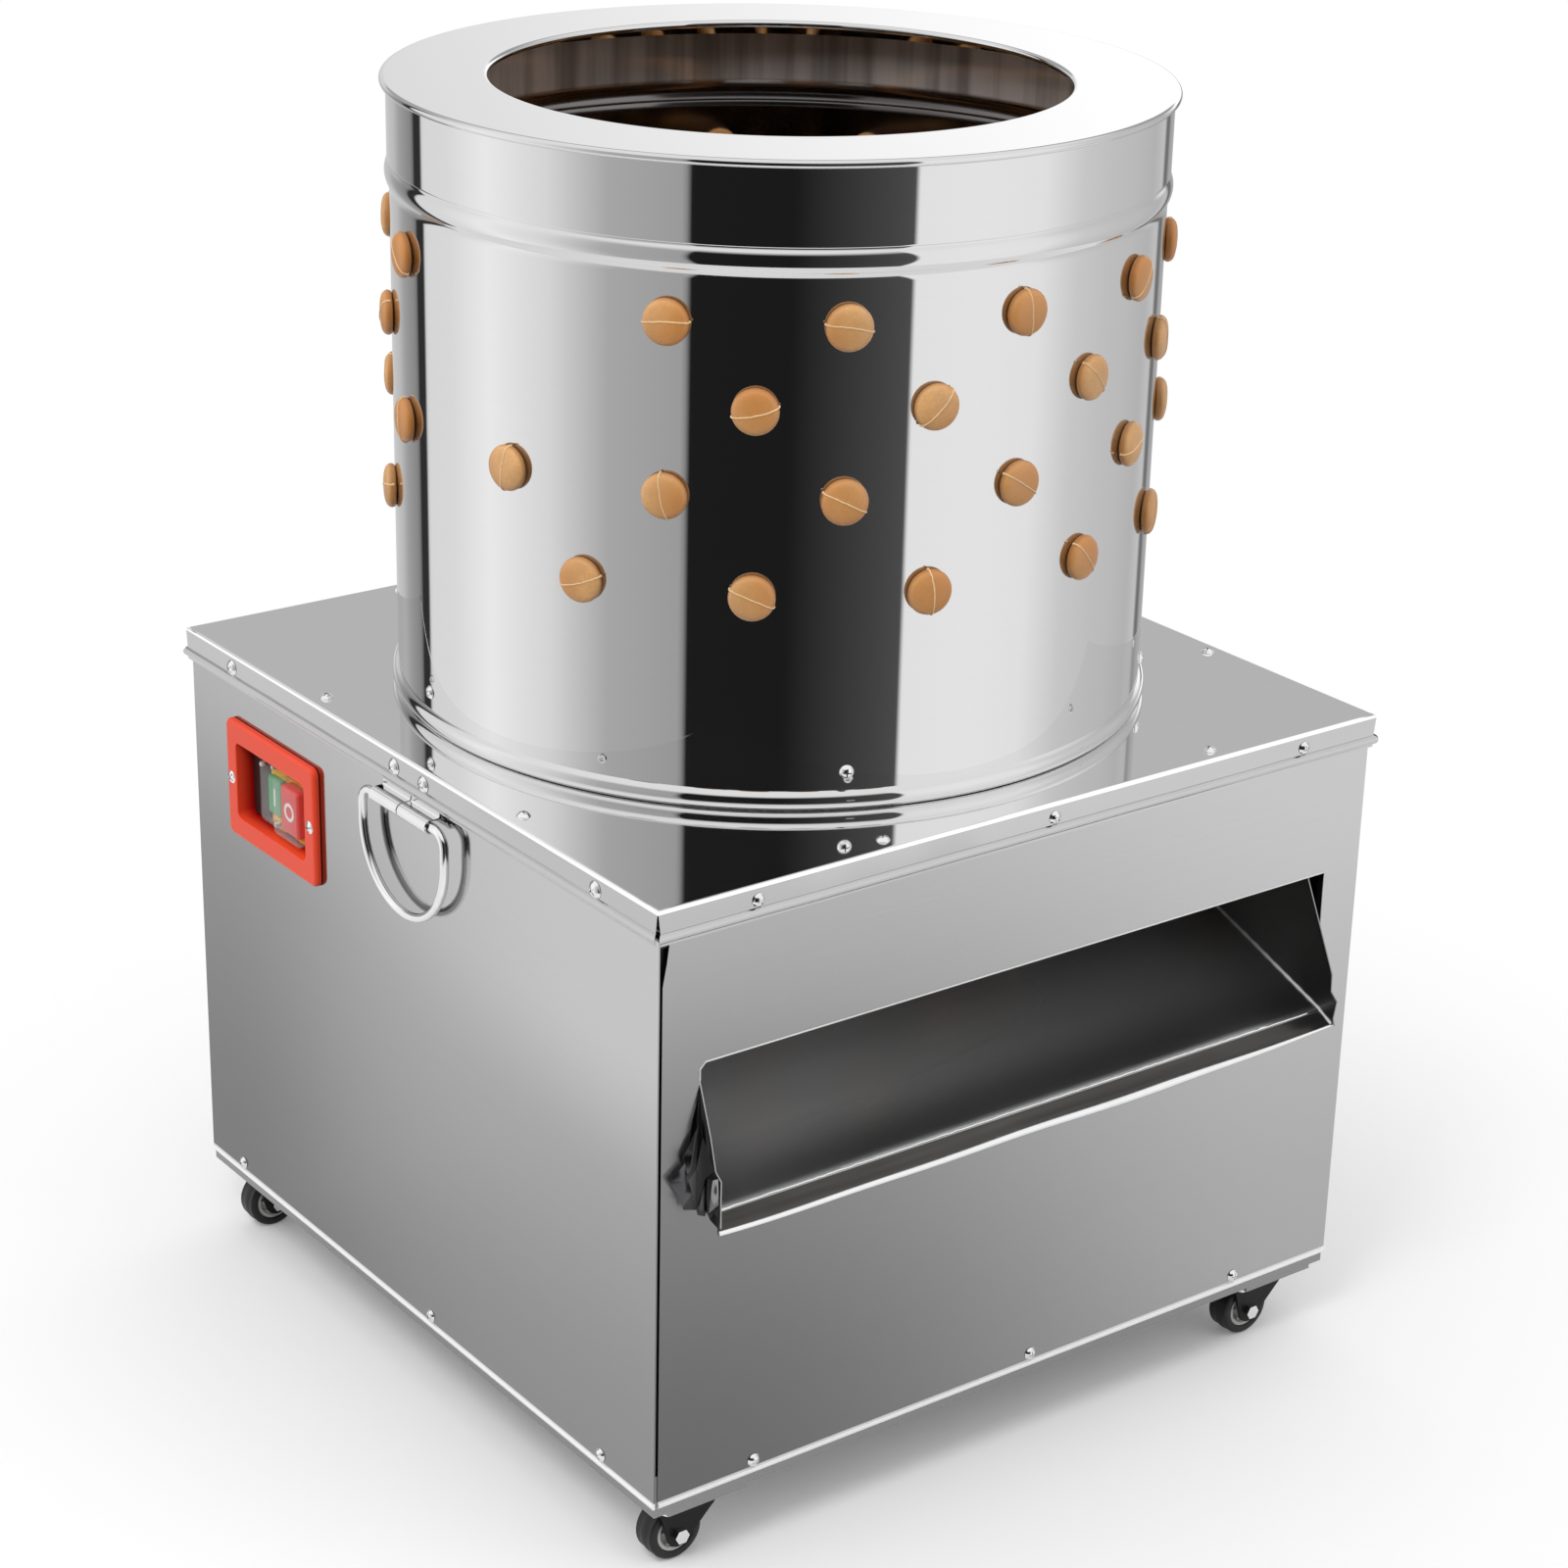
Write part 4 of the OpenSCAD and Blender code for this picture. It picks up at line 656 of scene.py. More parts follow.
drumPlaces = [facing((radius * cos(a), radius * sin(a), z), (cos(a), sin(a), 0)) for a, z in fingerPlaces]
tableLow, tableHigh = span("turntable")
tablePlaces = [facing(((low.x + high.x) / 2, (low.y + high.y) / 2, tableLow.z), (0, 0, -1))
               for low, high in looseBoxes("turntable_fingers")]
fingers("drumFingers", drumPlaces, wall, "cabinet", "drum_fingers")
fingers("turntableFingers", tablePlaces, tableHigh.z - tableLow.z, "rotor", "turntable_fingers")
print("stage: fingers")


# cover

cover = {"half": 290.0, "sheet": 1.0, "fold": 2.2, "flat": 0.8, "rim": 14.5, "bead": 6.5, "beadOut": 2.5, "lip": 1.6,
         "seam": 0.5, "beadSeam": 2.0, "ripple": 0.18, "stations": 40, "drop": 238.0, "spigot": 248.6,
         "spigotHeight": 40.0, "steps": 256}


def circleLoop(r, z):
    return [(r * c, r * s, z) for c, s in around(cover["steps"])]


def squareLoop(half, z):
    reaches = [(c, s, half / max(abs(c), abs(s))) for c, s in around(cover["steps"])]
    return [(c * reach, s * reach, z) for c, s, reach in reaches]


half, sheet, fold = cover["half"], cover["sheet"], cover["fold"]
corner = (half - fold, coverTop - fold)
plateLoops = [circleLoop(cover["drop"], coverTop - sheet), circleLoop(cover["drop"], coverTop),
              circleLoop(cover["drop"] + cover["flat"], coverTop),  # keeps the plate flat up to its edges
              squareLoop(half - fold - cover["flat"], coverTop)]
plateLoops += [squareLoop(r, z) for r, z in arc(corner, fold, 90, 0, 5) + arc(corner, fold - sheet, 0, 90, 5)]
coverForm = Form().loft(plateLoops, closed=True)
beadHigh = coverTop - cover["rim"]
beadLow = beadHigh - cover["bead"]
rimOutside = ([(half, coverTop - fold)] + bulge(half, beadLow, beadHigh, cover["beadOut"], 12)[::-1]
              + [(half, beadLow - cover["lip"])])
rimSection = rimOutside + [(r - sheet, z) for r, z in rimOutside[::-1]]
rimForm = Form()
for quarter in range(4):
    loops = []
    for i in range(cover["stations"] + 1):
        share = 2 * i / cover["stations"] - 1
        ripple = cover["ripple"] * sin(19 * share + 2.1 * quarter) * sin(7 * share + quarter)
        loop = []
        for r, z in rimSection:
            gap = cover["beadSeam"] if z < beadHigh + 0.5 else cover["seam"]
            deep = r + (ripple if z < coverTop - fold - 1 else 0)
            loop.append((share * (r - gap), -deep, z))
        loops.append(loop)
    rimForm.loft(loops, spin(pi / 2 * quarter), caps=True)
spigot, spigotLow, spigotHigh = cover["spigot"], coverTop - 0.4, coverTop + cover["spigotHeight"]
coverForm.turned([(spigot - wall, spigotLow), (spigot, spigotLow), (spigot, spigotHigh), (spigot - wall, spigotHigh)],
                 drum["steps"], closed=True)
piece("topCover", coverForm, "cover", stands=["top_cover"])
piece("coverRim", rimForm, "rim")
print("stage: cover")


# screws

screw = {"head": 4.5, "height": 3.0, "shank": 2.1, "skirt": 0.5, "slot": 0.85, "slotReach": 2.7, "slotDepth": 1.5,
         "steps": 36, "wide": 1.3, "drumFrom": 15.0}


def screwMesh():  # domed head with a cross slot
    head, height = screw["head"], screw["height"]
    size = (head ** 2 + height ** 2) / (2 * height)
    lift = height - size
    low = asin((screw["skirt"] - lift) / size)
    dome = [(size * cos(a), lift + size * sin(a)) for a in (low + (pi / 2 - low) * i / 8 for i in range(9))]
    solid = Form().turned([(0, 0), (screw["shank"], 0), (head - 0.25, 0), (head, 0.3)] + dome, screw["steps"])
    reach, wide, deep = screw["slotReach"], screw["slot"] / 2, height - screw["slotDepth"]
    bar = [(-reach, -wide), (reach, -wide), (reach, wide), (-reach, wide)]
    slots = [Form().slab(bar, height + 1 - deep, moved(0, 0, deep) @ spin(turn)) for turn in (0, pi / 2)]
    made = carve(meshOf("screwHead", solid), slots)
    return [(v.co - axis) / mm for v in made.vertices], [list(p.vertices) for p in made.polygons]


headPoints, headFaces = screwMesh()
screwForm = Form()
for low, high in looseBoxes("sheet_screws"):
    middle = (low + high) / 2
    onDrum = high.z - coverTop > screw["drumFrom"]
    if onDrum:
        normal = Vector((middle.x, middle.y, 0)).normalized()
    elif high.z > coverTop + 1:
        normal = Vector((0, 0, 1))
    elif abs(middle.x) > abs(middle.y):
        normal = Vector((copysign(1, middle.x), 0, 0))
    else:
        normal = Vector((0, copysign(1, middle.y), 0))
    if normal.z:
        seat = Vector((middle.x, middle.y, high.z - screw["height"]))
    elif onDrum:
        seat = normal * (radius + 0.1) + Vector((0, 0, middle.z))
    else:
        reach = max(Vector((x, y, 0)).dot(normal) for x in (low.x, high.x) for y in (low.y, high.y))
        seat = middle + normal * (reach - screw["height"] - middle.dot(normal))
    spun = facing(seat, normal) @ spin(dice.uniform(0, pi / 2))
    if low.x < span("switch_bezel")[0].x:  # the bezel's screws are larger
        spun = spun @ Matrix.Diagonal((screw["wide"], screw["wide"], 1, 1))
    screwForm.add(headPoints, headFaces, spun)
piece("sheetScrews", screwForm, "bright", stands=["sheet_screws"])
print("stage: screws")


# chute

chute = {"slope": tan(radians(19.4)), "panel": -287.0, "fold": -306.0, "left": -255.0, "right": 242.0,
         "floor": 191.0, "opening": 107.5, "pipeTop": 55.0, "sheet": 1.2, "rear": 240.0, "inner": 46.0,
         "flange": 15.0, "bend": (80.0, 27.0), "round": 1.4, "sink": 0.6, "waves": ((0.45, 9.5, 0.6), (0.3, 23, 0)),
         "stations": 64, "pipe": (36.0, 38.0), "pipeSteps": 72, "bore": (200.0, 460.0), "boreSteps": 64,
         "hem": ((0, 0.7, 1), (1.8, 3.0, 0.8)), "ridge": 0.75, "ridgePoints": 120, "shake": (0.25, 0.2), "weld": 1.0,
         "leftCheek": [(-309.8, 255.9), (-309.4, 272.5), (-309.5, 287.8), (-303.6, 291.7), (-297.5, 313), (-286, 344)],
         "rightCheek": [(-321, 260), (-319.5, 265), (-321.6, 278.4), (-315.6, 283.7), (-315, 296), (-286, 355)]}
floorLevel, openingTop, pipeTop = (coverTop - chute[k] for k in ("floor", "opening", "pipeTop"))


def floorAt(y):
    return floorLevel + (y - chute["panel"]) * chute["slope"]


thick, sink, bendRound = chute["sheet"], chute["sink"], chute["round"]
left, right = chute["left"] - thick, chute["right"] + thick
foldY, foldZ, rearY = chute["fold"], floorAt(chute["fold"]), chute["rear"]
loops, flangeLoops, rollLine = [], [], []
for i in range(chute["stations"] + 1):
    share = i / chute["stations"]
    x = left + (right - left) * share
    wave = sum(size * sin(rate * share + start) for size, rate, start in chute["waves"])
    turn = radians(chute["bend"][0] + (chute["bend"][1] - chute["bend"][0]) * share ** 0.8)
    out, down = cos(turn), sin(turn)
    reach = chute["flange"] + wave
    endY, endZ = foldY - reach * out, foldZ - reach * down
    bendY, bendZ = foldY - bendRound * out, foldZ - sink - bendRound * down
    backY, backZ = thick * down, -thick * out  # through the sheet
    loops.append([(x, y, z) for y, z in (
        (rearY, floorAt(rearY)), (foldY + 5, floorAt(foldY + 5)), (foldY + 1.6, floorAt(foldY + 1.6) - 0.1),
        (foldY, foldZ - 0.45), (bendY, bendZ), (foldY + backY, foldZ - sink + backZ - down),
        (foldY + 2.2, floorAt(foldY + 2.2) - thick), (rearY, floorAt(rearY) - thick))])
    flangeLoops.append([(x, y, z) for y, z in (
        (bendY, bendZ), (endY, endZ), (endY + backY, endZ + backZ), (bendY + backY, bendZ + backZ))])
    rollLine.append((x, endY + 0.6 * backY, endZ + 0.6 * backZ))
bore, (boreLow, boreHigh) = chute["pipe"][0] + 1, chute["bore"]
boreForm = Form().turned([(bore, boreLow), (bore, boreHigh), (0, boreHigh), (0, boreLow)], chute["boreSteps"])
floorMesh = carve(meshOf("chuteFloor", Form().loft(loops, caps=True)), [boreForm])
piece("chuteFloor", floorMesh, "chute", stands=["feather_chute"], weighted=True)
# the flange takes the dark fold steel: painted shade
piece("chuteFlange", Form().loft(flangeLoops, caps=True), "fold", weighted=True)
# painted highlight: the rolled edge and a ridge tube along the fold take the bright steel, not the chute's own
hemForm = Form().tube(rollLine, lambda t: float(np.interp(t, *chute["hem"])), 14)
shakeY, shakeZ = chute["shake"]
ridge = [(left + (right - left) * i / chute["ridgePoints"], foldY - 0.2 + dice.uniform(-shakeY, shakeY),
          foldZ - 0.35 + dice.uniform(-shakeZ, shakeZ)) for i in range(chute["ridgePoints"] + 1)]
hemForm.tube(ridge, chute["ridge"], 8)
piece("chuteHem", hemForm, "bright")

cheekForm = Form()
topUnder, rearFoot = coverTop - 1.1, floorAt(rearY)
for cheek, x in (("leftCheek", left), ("rightCheek", chute["right"])):
    outline = chute[cheek] + [
        (chute["panel"] + 1 + chute["inner"], topUnder), (rearY + thick, topUnder),
        (rearY + thick, rearFoot - 0.6), (foldY + 0.5, floorAt(foldY + 0.5) - 0.8)]
    cheekForm.slab(outline, thick, Matrix(((0, 0, 1, x), (1, 0, 0, 0), (0, 1, 0, 0), (0, 0, 0, 1))))
back = [(left, rearFoot - thick), (right, rearFoot - thick), (right, topUnder), (left, topUnder)]
cheekForm.slab(back, -thick, Matrix(((1, 0, 0, 0), (0, 0, -1, rearY), (0, 1, 0, 0), (0, 0, 0, 1))))
small, large = chute["pipe"]
sleeve = [[(r * c, r * s, floorAt(r * s) - 0.6) for r in (small, large)]
          + [(r * c, r * s, pipeTop) for r in (large, small)] for c, s in around(chute["pipeSteps"])]
cheekForm.loft(sleeve, closed=True)
piece("chuteCheeks", cheekForm, "chute", bevel=0.35)

ear = {"A": (-256.4, -286.5, 344), "B": (-261.6, -290.1, 314.4), "C": (-270, -290.1, 300.1),
       "D": (-269.7, -290.7, 295.8), "E": (-280.5, -290.1, 287.1), "F": (-271, -290.3, 271),
       "G": (-269.7, -290.5, 264.8), "H": (-260.7, -291.4, 262.4), "I": (-266.4, -301, 264.9),
       "J": (-262.7, -302.5, 263.7), "K": (-260.8, -302, 265.8), "L": (-260.4, -305, 261.9),
       "M": (-256.6, -308.5, 256), "N": (-256.5, -309.4, 274), "O": (-256.5, -309.5, 287.8),
       "P": (-256.5, -303.6, 292.5), "Q": (-256.5, -297.9, 309.5), "R": (-259.3, -290.9, 319.4),
       "S": (-261.8, -292.2, 290.4), "T": (-259.2, -295, 312.7), "U": (-259, -298, 286.1),
       "V": (-265.6, -289.3, 282.9), "W": (-260, -306, 288.7), "X": (-257.3, -308.6, 290),
       "Y": (-257, -309, 272.8), "Z": (-261.3, -305, 266.6)}
creases = ("VBC VCD VDE VEF VFG VGH VHS VSR VRB ABR ART RST SUT SHU HIU IJU ATQ TPQ TUP UWP WXP PXO UZW UJK UKZ "
           "ZKL ZLY YLM XYNO YMN")
spots = sorted(ear)
earForm = Form().add([ear[k] for k in spots], [[spots.index(k) for k in face] for face in creases.split()])
tabForm = Form().add([ear[k] for k in "WZYX"], [(0, 1, 2, 3)])
# the ear in the dark creased steel as painted shade, its tab facet in the lighter strip steel as painted light on the
# same sheet
for name, form, key in (("chuteEar", earForm, "crease"), ("chuteTab", tabForm, "strip")):
    bent = piece(name, meshOf(name, form, sharp=6.0), key)
    solid = bent.modifiers.new("sheet", "SOLIDIFY")
    solid.thickness = 0.9 * mm
    solid.offset = 0

# a white tube along the opening's edge is a painted highlight
opening = {"left": left - 0.3, "right": chute["right"] + 14, "corner": 4.0, "end": 346.0, "low": 302.0, "bright": 0.5}
edgePath = [(opening["left"], opening["end"]), (opening["left"], openingTop - opening["corner"]),
            (opening["left"] + opening["corner"], openingTop)]
edgePath += [(x, openingTop) for x in np.linspace(-200, opening["right"] - 1, 12)]
edgePath += [(opening["right"], openingTop - 1), (opening["right"], opening["low"])]
edgeForm = Form().tube([(x, chute["panel"] - 0.1, z) for x, z in edgePath], opening["bright"], 8)
# the weld seam's bead, in white as a painted highlight
lipTurn, weldX = radians(chute["bend"][1]), chute["right"] - 0.3
weld = [(weldX, foldY - s * cos(lipTurn), foldZ - s * sin(lipTurn)) for s in np.linspace(14, 1, 8)]
weld += [(weldX, y, floorAt(y) + 0.3) for y in np.linspace(foldY, -200, 60)]
edgeForm.tube(weld, lambda t: chute["weld"] + 0.15 * sin(70 * t), 8)
piece("openingEdgeHighlight", edgeForm, "weld")
print("stage: chute")


# switch

switchLow, switchHigh = span("switch_bezel")
switchAt = Vector((switchLow.x, (switchLow.y + switchHigh.y) / 2, (switchLow.z + switchHigh.z) / 2))
bezel = {"size": (switchHigh.y - switchLow.y, switchHigh.z - switchLow.z), "corner": 6.0, "thick": 5.0,
         "recess": (94.0, 55.0), "recessCorner": 4.0, "depth": 15.0, "round": 2.8, "floor": 2.5,
         "hole": (79, 45), "holeCorner": 2, "shift": -9}
inside = {"frame": (90, 51), "body": (77.5, 43.5), "bodyDepth": 36, "plate": (74, 50), "bite": 2.6, "waves": 3,
          "face": 4.5, "bootGap": 2.5}


def switchStack(size, rows, shift=0.0):  # outlines by growth, corner and depth behind the bezel's front
    return [[(switchAt.x + depth, switchAt.y + shift - u, switchAt.z + v)
             for u, v in roundedBox(size[0] + growth, size[1] + growth, corner)] for growth, corner, depth in rows]


corner, recessCorner, ease = bezel["corner"], bezel["recessCorner"], bezel["round"]
rear, deep = bezel["thick"], bezel["depth"]
floorBack = deep + bezel["floor"]
bezelLoops = switchStack(bezel["size"], [(-2, corner - 1, rear), (0, corner, rear - 0.6), (0, corner, ease)] + [
    (-2 * u, max(corner - u, 1), v) for u, v in arc((ease, ease), ease, 180, 270, 7)[1:]])
bezelLoops += switchStack(bezel["recess"], [
    (2 * u, recessCorner + u, v) for u, v in ((1.2, 0), (0.45, 0.25), (0, 1.0), (0, deep))])
bezelLoops += switchStack(bezel["hole"], [(0, bezel["holeCorner"], v) for v in (deep, floorBack)], bezel["shift"])
bezelLoops += switchStack(bezel["recess"], [(5, recessCorner + 2, v) for v in (floorBack, rear)])
bezelForm = Form().loft(bezelLoops, closed=True)
piece("switchBezel", bezelForm, "bezel", stands=["switch_bezel"], weighted=True)

bodyForm = Form().loft(switchStack(inside["frame"], [(0, 3, deep), (0, 3, deep - 2.4), (-1, 2.6, deep - 3)]), caps=True)
bodyForm.loft(switchStack(inside["body"], [(0, 1.5, deep), (0, 1.5, deep + inside["bodyDepth"])]), caps=True)
piece("switchBody", bodyForm, "switch", stands=["switch_body"], weighted=True)


def scallop(width, height, steps=48):  # plate outline with scalloped long edges
    bites = [inside["bite"] * abs(sin(pi * inside["waves"] * i / steps)) ** 3 for i in range(steps + 1)]
    upper = [(-width / 2 + width * i / steps, height / 2 - bite) for i, bite in enumerate(bites)]
    return upper + [(-u, -v) for u, v in upper]


plateForm = Form().loft([[(switchAt.x + depth, switchAt.y + bezel["shift"] - u, switchAt.z + v)
                          for u, v in scallop(*inside["plate"])] for depth in (deep - 3, deep - 4.4)], caps=True)
piece("switchPlate", plateForm, "plate", stands=["switch_plate"], weighted=True)

buttons = {"start": {"y": 5.0, "size": (20.0, 28.0), "out": 4.0, "slot": "start_green"},
           "stop": {"y": -24.0, "size": (24.0, 34.0), "out": 9.0, "slot": "stop_red"}}
mark = {"ring": (4.2, 6.6), "bar": (2.4, 13), "corner": 0.6, "out": 0.15, "in": 0.05}
face = deep - inside["face"]
for key, spec in buttons.items():
    front = face - spec["out"]
    rows = [(0, 2, deep + 9), (0, 2, front + 2.2), (-0.8, 2, front + 1), (-2.6, 1.6, front + 0.2), (-5, 1.2, front)]
    buttonForm = Form().loft(switchStack(spec["size"], rows, spec["y"]), caps=True)
    piece(key + "Button", buttonForm, key, key + "_push", [key + "_button"], weighted=True)
    markForm = Form()
    if key == "stop":
        small, large = mark["ring"]
        ring = [(small, -mark["in"]), (large, -mark["in"]), (large, mark["out"]), (small, mark["out"])]
        place = facing((switchAt.x + front, switchAt.y + spec["y"], switchAt.z), (-1, 0, 0))
        markForm.turned(ring, 40, place, closed=True)
    else:
        rows = [(0, mark["corner"], front - mark["out"]), (0, mark["corner"], front + mark["in"])]
        markForm.loft(switchStack(mark["bar"], rows, spec["y"]), caps=True)
    piece(key + "Mark", markForm, "mark", key + "_push")

bootForm = Form()
for spec in buttons.values():  # one clear skin a button
    front = face - spec["out"] - inside["bootGap"]
    rows = [(2, 3, face), (2, 3, front + 1.6), (1.2, 2.8, front + 0.4), (-1, 2.2, front - 0.6), (-3, 1.6, front - 0.9)]
    skinLoops = switchStack((spec["size"][0] + 9, buttons["stop"]["size"][1] + 5), rows, spec["y"])
    bootForm.loft(skinLoops)
    bootForm.add(skinLoops[-1], [range(len(skinLoops[-1]))])
boot = piece("switchBoot", bootForm, "clear", stands=["switch_boot"])
skin = boot.modifiers.new("skin", "SOLIDIFY")
skin.thickness = 0.6 * mm
skin.offset = -1
pegForm = Form()
for y, z in ((24, 18), (8, 21), (6, -21)):
    pegForm.turned([(0, 2.2), (1.4, 2.0), (1.9, 1.2), (1.9, -1.5), (0, -1.5)], 18,
                   facing((switchAt.x + face - 2, switchAt.y + y, switchAt.z + z), (-1, 0, 0)))
piece("bootPegs", pegForm, "mark")
print("stage: switch")


# handles

handle = {"wire": 3.0, "corner": 10.0, "strap": 34.0, "strapGap": 0.5, "strapThick": 1.5, "loop": 3.4,
          "panel": 287.0, "off": 0.2, "tab": 3.0}
strapForm = Form()
for side, name in ((-1, "left"), (1, "right")):
    low, high = span(name + "_handle_ring")
    barX, middle = (low.x + high.x) / 2, (low.y + high.y) / 2
    wire, corner = handle["wire"], handle["corner"]
    yLow, yHigh, barZ = low.y + wire, high.y - wire, high.z - wire
    bend = (yHigh - yLow) / 2
    path = [(barX, y, z) for y, z in arc((yHigh - corner, barZ - corner), corner, 90, 0, 8)
            + arc(((yLow + yHigh) / 2, low.z + wire + bend), bend, 0, -180, 40)
            + arc((yLow + corner, barZ - corner), corner, 180, 90, 8)]
    piece(name + "HandleRing", Form().tube(path, wire, 20, True), "bright", name + "_handle",
          [name + "_handle_ring"])
    loop, off, panel = handle["loop"], handle["off"], side * handle["panel"]
    over, wide, gap = loop + handle["strapThick"], handle["strap"] / 2, abs(barX - panel)
    tabTop, tabOut = coverTop - handle["tab"] - barZ, off + handle["strapThick"]
    section = ([(off, tabTop), (tabOut, tabTop), (tabOut, over + 1), (tabOut + 1, over), (gap, over)]
               + arc((gap, 0), over, 80, -190, 26) + arc((gap, 0), loop, -190, 80, 26)
               + [(gap, loop), (1.0, loop), (off, loop + 0.8)])
    for y in (middle - wide - handle["strapGap"], middle + wide + handle["strapGap"]):
        strapForm.loft([[(panel + side * u, y + depth, barZ + v) for u, v in section] for depth in (-wide, wide)],
                       caps=True)
piece("handleStraps", strapForm, "bright", stands=["handle_straps"], bevel=0.25)
print("stage: handles")


# casters

caster = {"wheel": 20.0, "width": 18.0, "rim": 14.0, "shoulderRound": 3.0, "crown": 9.6, "fork": 2.5, "forkIn": 10.0,
          "eye": 9.0, "trail": 12.0, "half": 11.5, "shoulder": 40.7, "front": 20.0, "rear": 27.0, "bridge": 44.7,
          "bridgeThick": 2.5, "axle": 3.0, "nut": 5.4, "nutThick": 4.0, "pin": 5.3, "race": 13.0,
          "hub": [(3.2, -9.5), (6.6, -9.5), (7.2, -8.9), (7.6, -4.2), (10.4, -3.6), (11.0, -7.4), (11.6, -8.0),
                  (13.6, -8.0), (14.0, -7.6)],
          "rib": [(7.0, -0.7), (11.4, -0.7), (11.4, 0.7), (7.0, 0.7)], "ribs": 6, "ribWide": 3.6}
for corner in ("front_left", "front_right", "rear_left", "rear_right"):
    low, high = span(corner + "_axle")
    hub = (low + high) / 2
    pinX, pinY = hub.x + caster["trail"], hub.y
    end, side = corner.split("_")
    camel = end + side.title()
    turnY = facing(hub, (0, -1, 0))
    wheel, width, rim = caster["wheel"], caster["width"] / 2, caster["rim"]
    ease, crown = caster["shoulderRound"], caster["crown"]
    tread = ([(rim + 0.05, -width + 0.4), (rim + 0.5, -width)] + arc((wheel - ease, -width + ease), ease, 270, 330, 5)
             + arc((wheel - crown, 0), crown, -22, 22, 8) + arc((wheel - ease, width - ease), ease, 30, 90, 5)
             + [(rim + 0.5, width), (rim + 0.05, width - 0.4)])
    tyreForm = Form().turned(tread, 72, turnY, closed=True)
    piece(camel + "Tyre", tyreForm, "tyre", corner + "_wheel", [corner + "_tyre"])
    hubForm = Form().turned(caster["hub"] + [(r, -z) for r, z in caster["hub"][::-1]], 60, turnY, closed=True)
    for i in range(caster["ribs"]):
        for z in (-6.8, 3.2):
            place = turnY @ spin(2 * pi * i / caster["ribs"]) @ moved(0, 0, z)
            hubForm.slab(caster["rib"], caster["ribWide"], place)
    piece(camel + "Hub", hubForm, "hub", corner + "_wheel", [corner + "_hub"])
    reach, axleR = caster["forkIn"] + caster["fork"], caster["axle"]
    axleForm = Form().turned([(0, -reach), (axleR, -reach), (axleR, reach), (0, reach)], 28, turnY)
    hexagon = [(caster["nut"] * c, caster["nut"] * s) for c, s in around(6)]
    for z in (-reach - caster["nutThick"], reach):
        axleForm.slab(hexagon, caster["nutThick"], turnY @ moved(0, 0, z))
    piece(camel + "Axle", axleForm, "bright", corner + "_swivel", [corner + "_axle"], bevel=0.35)
    forkForm = Form()
    top, wide, shoulder = caster["bridge"], caster["half"], caster["shoulder"]
    plate = ([(-wide, top), (-wide, shoulder), (-caster["rear"], shoulder)]
             + arc((-caster["trail"], hub.z), caster["eye"], 205, 328, 14)
             + [(caster["front"], shoulder - 1), (caster["front"] - 0.6, shoulder), (wide, shoulder), (wide, top)])
    for y in (-reach, caster["forkIn"]):
        upright = Matrix(((1, 0, 0, pinX), (0, 0, 1, pinY + y), (0, 1, 0, 0), (0, 0, 0, 1)))
        forkForm.slab(plate, caster["fork"], upright)
    forkForm.slab(roundedBox(2 * wide, 2 * reach, 1), caster["bridgeThick"],
                  moved(pinX, pinY, top - caster["bridgeThick"]))
    pin, race = caster["pin"], caster["race"]
    forkForm.turned([(pin, top - 0.2), (race, top - 0.2), (race, top + 1.4), (race - 0.6, top + 1.9), (pin, top + 1.9)],
                    48, moved(pinX, pinY, 0), closed=True)
    piece(camel + "Fork", forkForm, "fork", corner + "_swivel", [corner + "_fork"], bevel=0.5)
print("stage: casters")


# stage, light and camera

studio = {"floorRadius": 1.25, "fade": (0.36, 1.0), "yaw": 36.817, "pitch": 22.186, "roll": 1.337,
          "place": (-1.36284, -1.84148, 1.31541), "lens": 82.44,
          "key": 17, "keySize": 0.8, "keyPlace": (-1.5, -0.9, 2.1), "keyFrom": (-1.5, -0.9, 1.6),
          "behind": (-0.72, -0.92), "behindFoot": (0.0, 0.1), "behindTop": (0.222, 0.265), "behindLevel": 0.47,
          "glare": (0.85, 1.5), "overhead": (0.42, 0.72), "overheadLevel": 1.1,
          "cards": [(-180, 0.7), (-160, 0.66), (-151, 0.64), (-144, 0.47), (-135, 0.36), (-132.5, 0.3), (-131, 0.04),
                    (-126.5, 0.04), (-125, 1.0), (-110, 1.05), (-92, 1.26), (-69, 1.02), (-49, 0.59), (-31, 0.52),
                    (-25.4, 0.5), (-25.1, 0.017), (5, 0.016), (31, 0.08), (39.85, 0.106), (40.15, 1.16), (62, 1.19),
                    (82, 1.15), (98, 0.88), (113, 0.78), (125, 0.73), (140, 0.62), (150, 0.7), (152.5, 0.2),
                    (156, 0.2), (159, 0.42), (173, 0.5), (180, 0.7)]}  # degrees round the object, brightness
stageForm = Form().loft([circleLoop(1000 * studio["floorRadius"] * (i / 8) ** 1.4 + 0.5, -0.2) for i in range(9)])
floor = placed("floor", meshOf("floor", stageForm))


def floorSockets(web):  # pale floor with the object's shadow, white further out
    path = web.make("LightPath", out="Is Camera Ray")
    seen = path.maths("MAXIMUM", path.pick("Is Glossy Ray")).maths("MAXIMUM", path.pick("Is Transmission Ray"))
    away = web.vector("LENGTH", web.vector("SUBTRACT", web.point(), axis), out="Value")
    far = away.fade(*studio["fade"])
    return {"Base Color": web.even((1.0 - far) * 0.84 + web.noise(5.0, 2.0) * 0.01),
            "Emission Color": web.even((far * 0.86 + 0.14) * seen),
            "Roughness": 0.9, "Specular IOR Level": 0.0, "Emission Strength": 1.0}


floor.data.materials.append(finish("floorWhite", floorSockets))

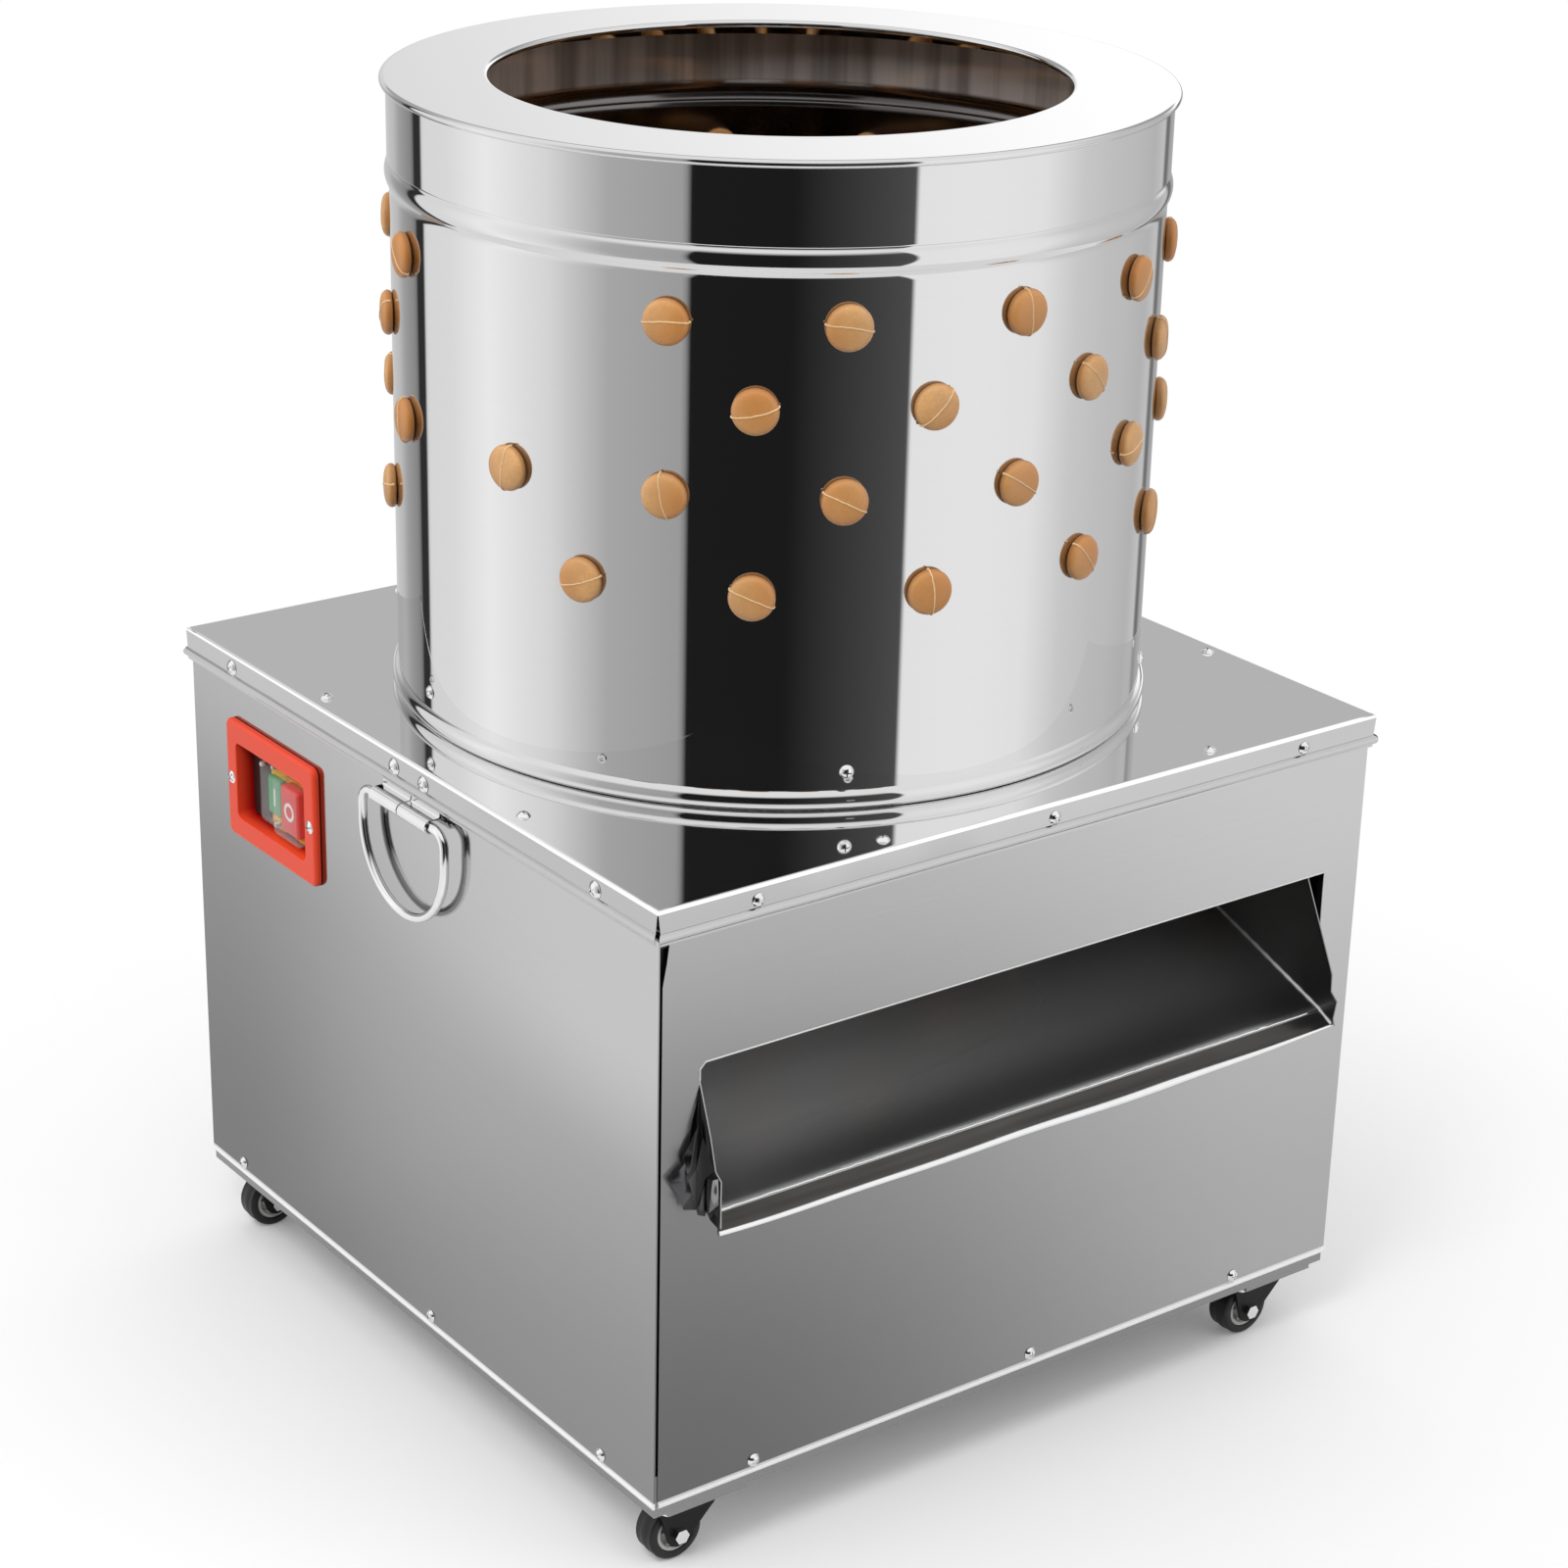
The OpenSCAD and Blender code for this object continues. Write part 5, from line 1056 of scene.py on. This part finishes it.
world = bpy.data.worlds.new("studio")
scene.world = world
world.use_nodes = True
sky = Web(world.node_tree)
yaw, pitch, lean = (radians(studio[k]) for k in ("yaw", "pitch", "roll"))
direction = sky.point("Generated")
towards = sky.vector("DOT_PRODUCT", direction, (-sin(yaw), -cos(yaw), 0), "Value")
rightward = sky.vector("DOT_PRODUCT", direction, (cos(yaw), -sin(yaw), 0), "Value")
height = sky.along("Z", direction)
azimuth = rightward.maths("ARCTAN2", towards) / (2 * pi) + 0.5
stops = [(angle / 360 + 0.5, grey(level)) for angle, level in studio["cards"]]
ramp = sky.make("ValToRGB", {"stops": stops}, {0: azimuth}, "Color")
least, most = studio["glare"]
glare = (rightward * 2.0 + 1.15).maths("MAXIMUM", least).maths("MINIMUM", most)  # low behind: seen in the feed ring
rear = height.fade(*studio["behindTop"]) * (studio["behindLevel"] - glare) + glare
behind = towards.fade(*studio["behind"]) * height.fade(*studio["behindFoot"])
cards = sky.blend(behind, ramp, sky.even(rear))
cards = sky.blend(height.fade(*studio["overhead"]), cards, grey(studio["overheadLevel"]))
path = sky.make("LightPath", out="Is Camera Ray")
clear = path.maths("MAXIMUM", path.pick("Is Transmission Ray"))
seen = clear.maths("MAXIMUM", path.pick("Is Glossy Ray"))
plain = sky.blend(seen, grey(0.98), grey(1))  # one white backdrop, with dark cards standing before it
flags = sky.blend(clear, cards, grey(1))
backdrop = world.node_tree.nodes["Background"]
sky.feed(backdrop.inputs["Color"], sky.vector("MULTIPLY", plain, flags))
sky.feed(backdrop.inputs["Strength"], 1.0)

lens = bpy.data.cameras.new("camera")
camera = placed("camera", lens)
scene.camera = camera
lens.sensor_width = 36
lens.lens = studio["lens"]
ahead = Vector((sin(yaw) * cos(pitch), cos(yaw) * cos(pitch), -sin(pitch)))
level = Vector((cos(yaw), -sin(yaw), 0))
above = level.cross(ahead)
rightAxis = level * cos(lean) + above * sin(lean)
upAxis = above * cos(lean) - level * sin(lean)
turned = Matrix((rightAxis, upAxis, -ahead)).transposed().to_4x4()
camera.matrix_world = Matrix.Translation(axis + Vector(studio["place"])) @ turned

key = bpy.data.lights.new("keyLight", "AREA")
key.energy, key.size = studio["key"], studio["keySize"]
keyLamp = placed("keyLight", key)
keyLamp.matrix_world = facing(axis + Vector(studio["keyPlace"]), studio["keyFrom"])
keyLamp.visible_glossy = False
scene.view_settings.view_transform = "Standard"
print("stage: studio")
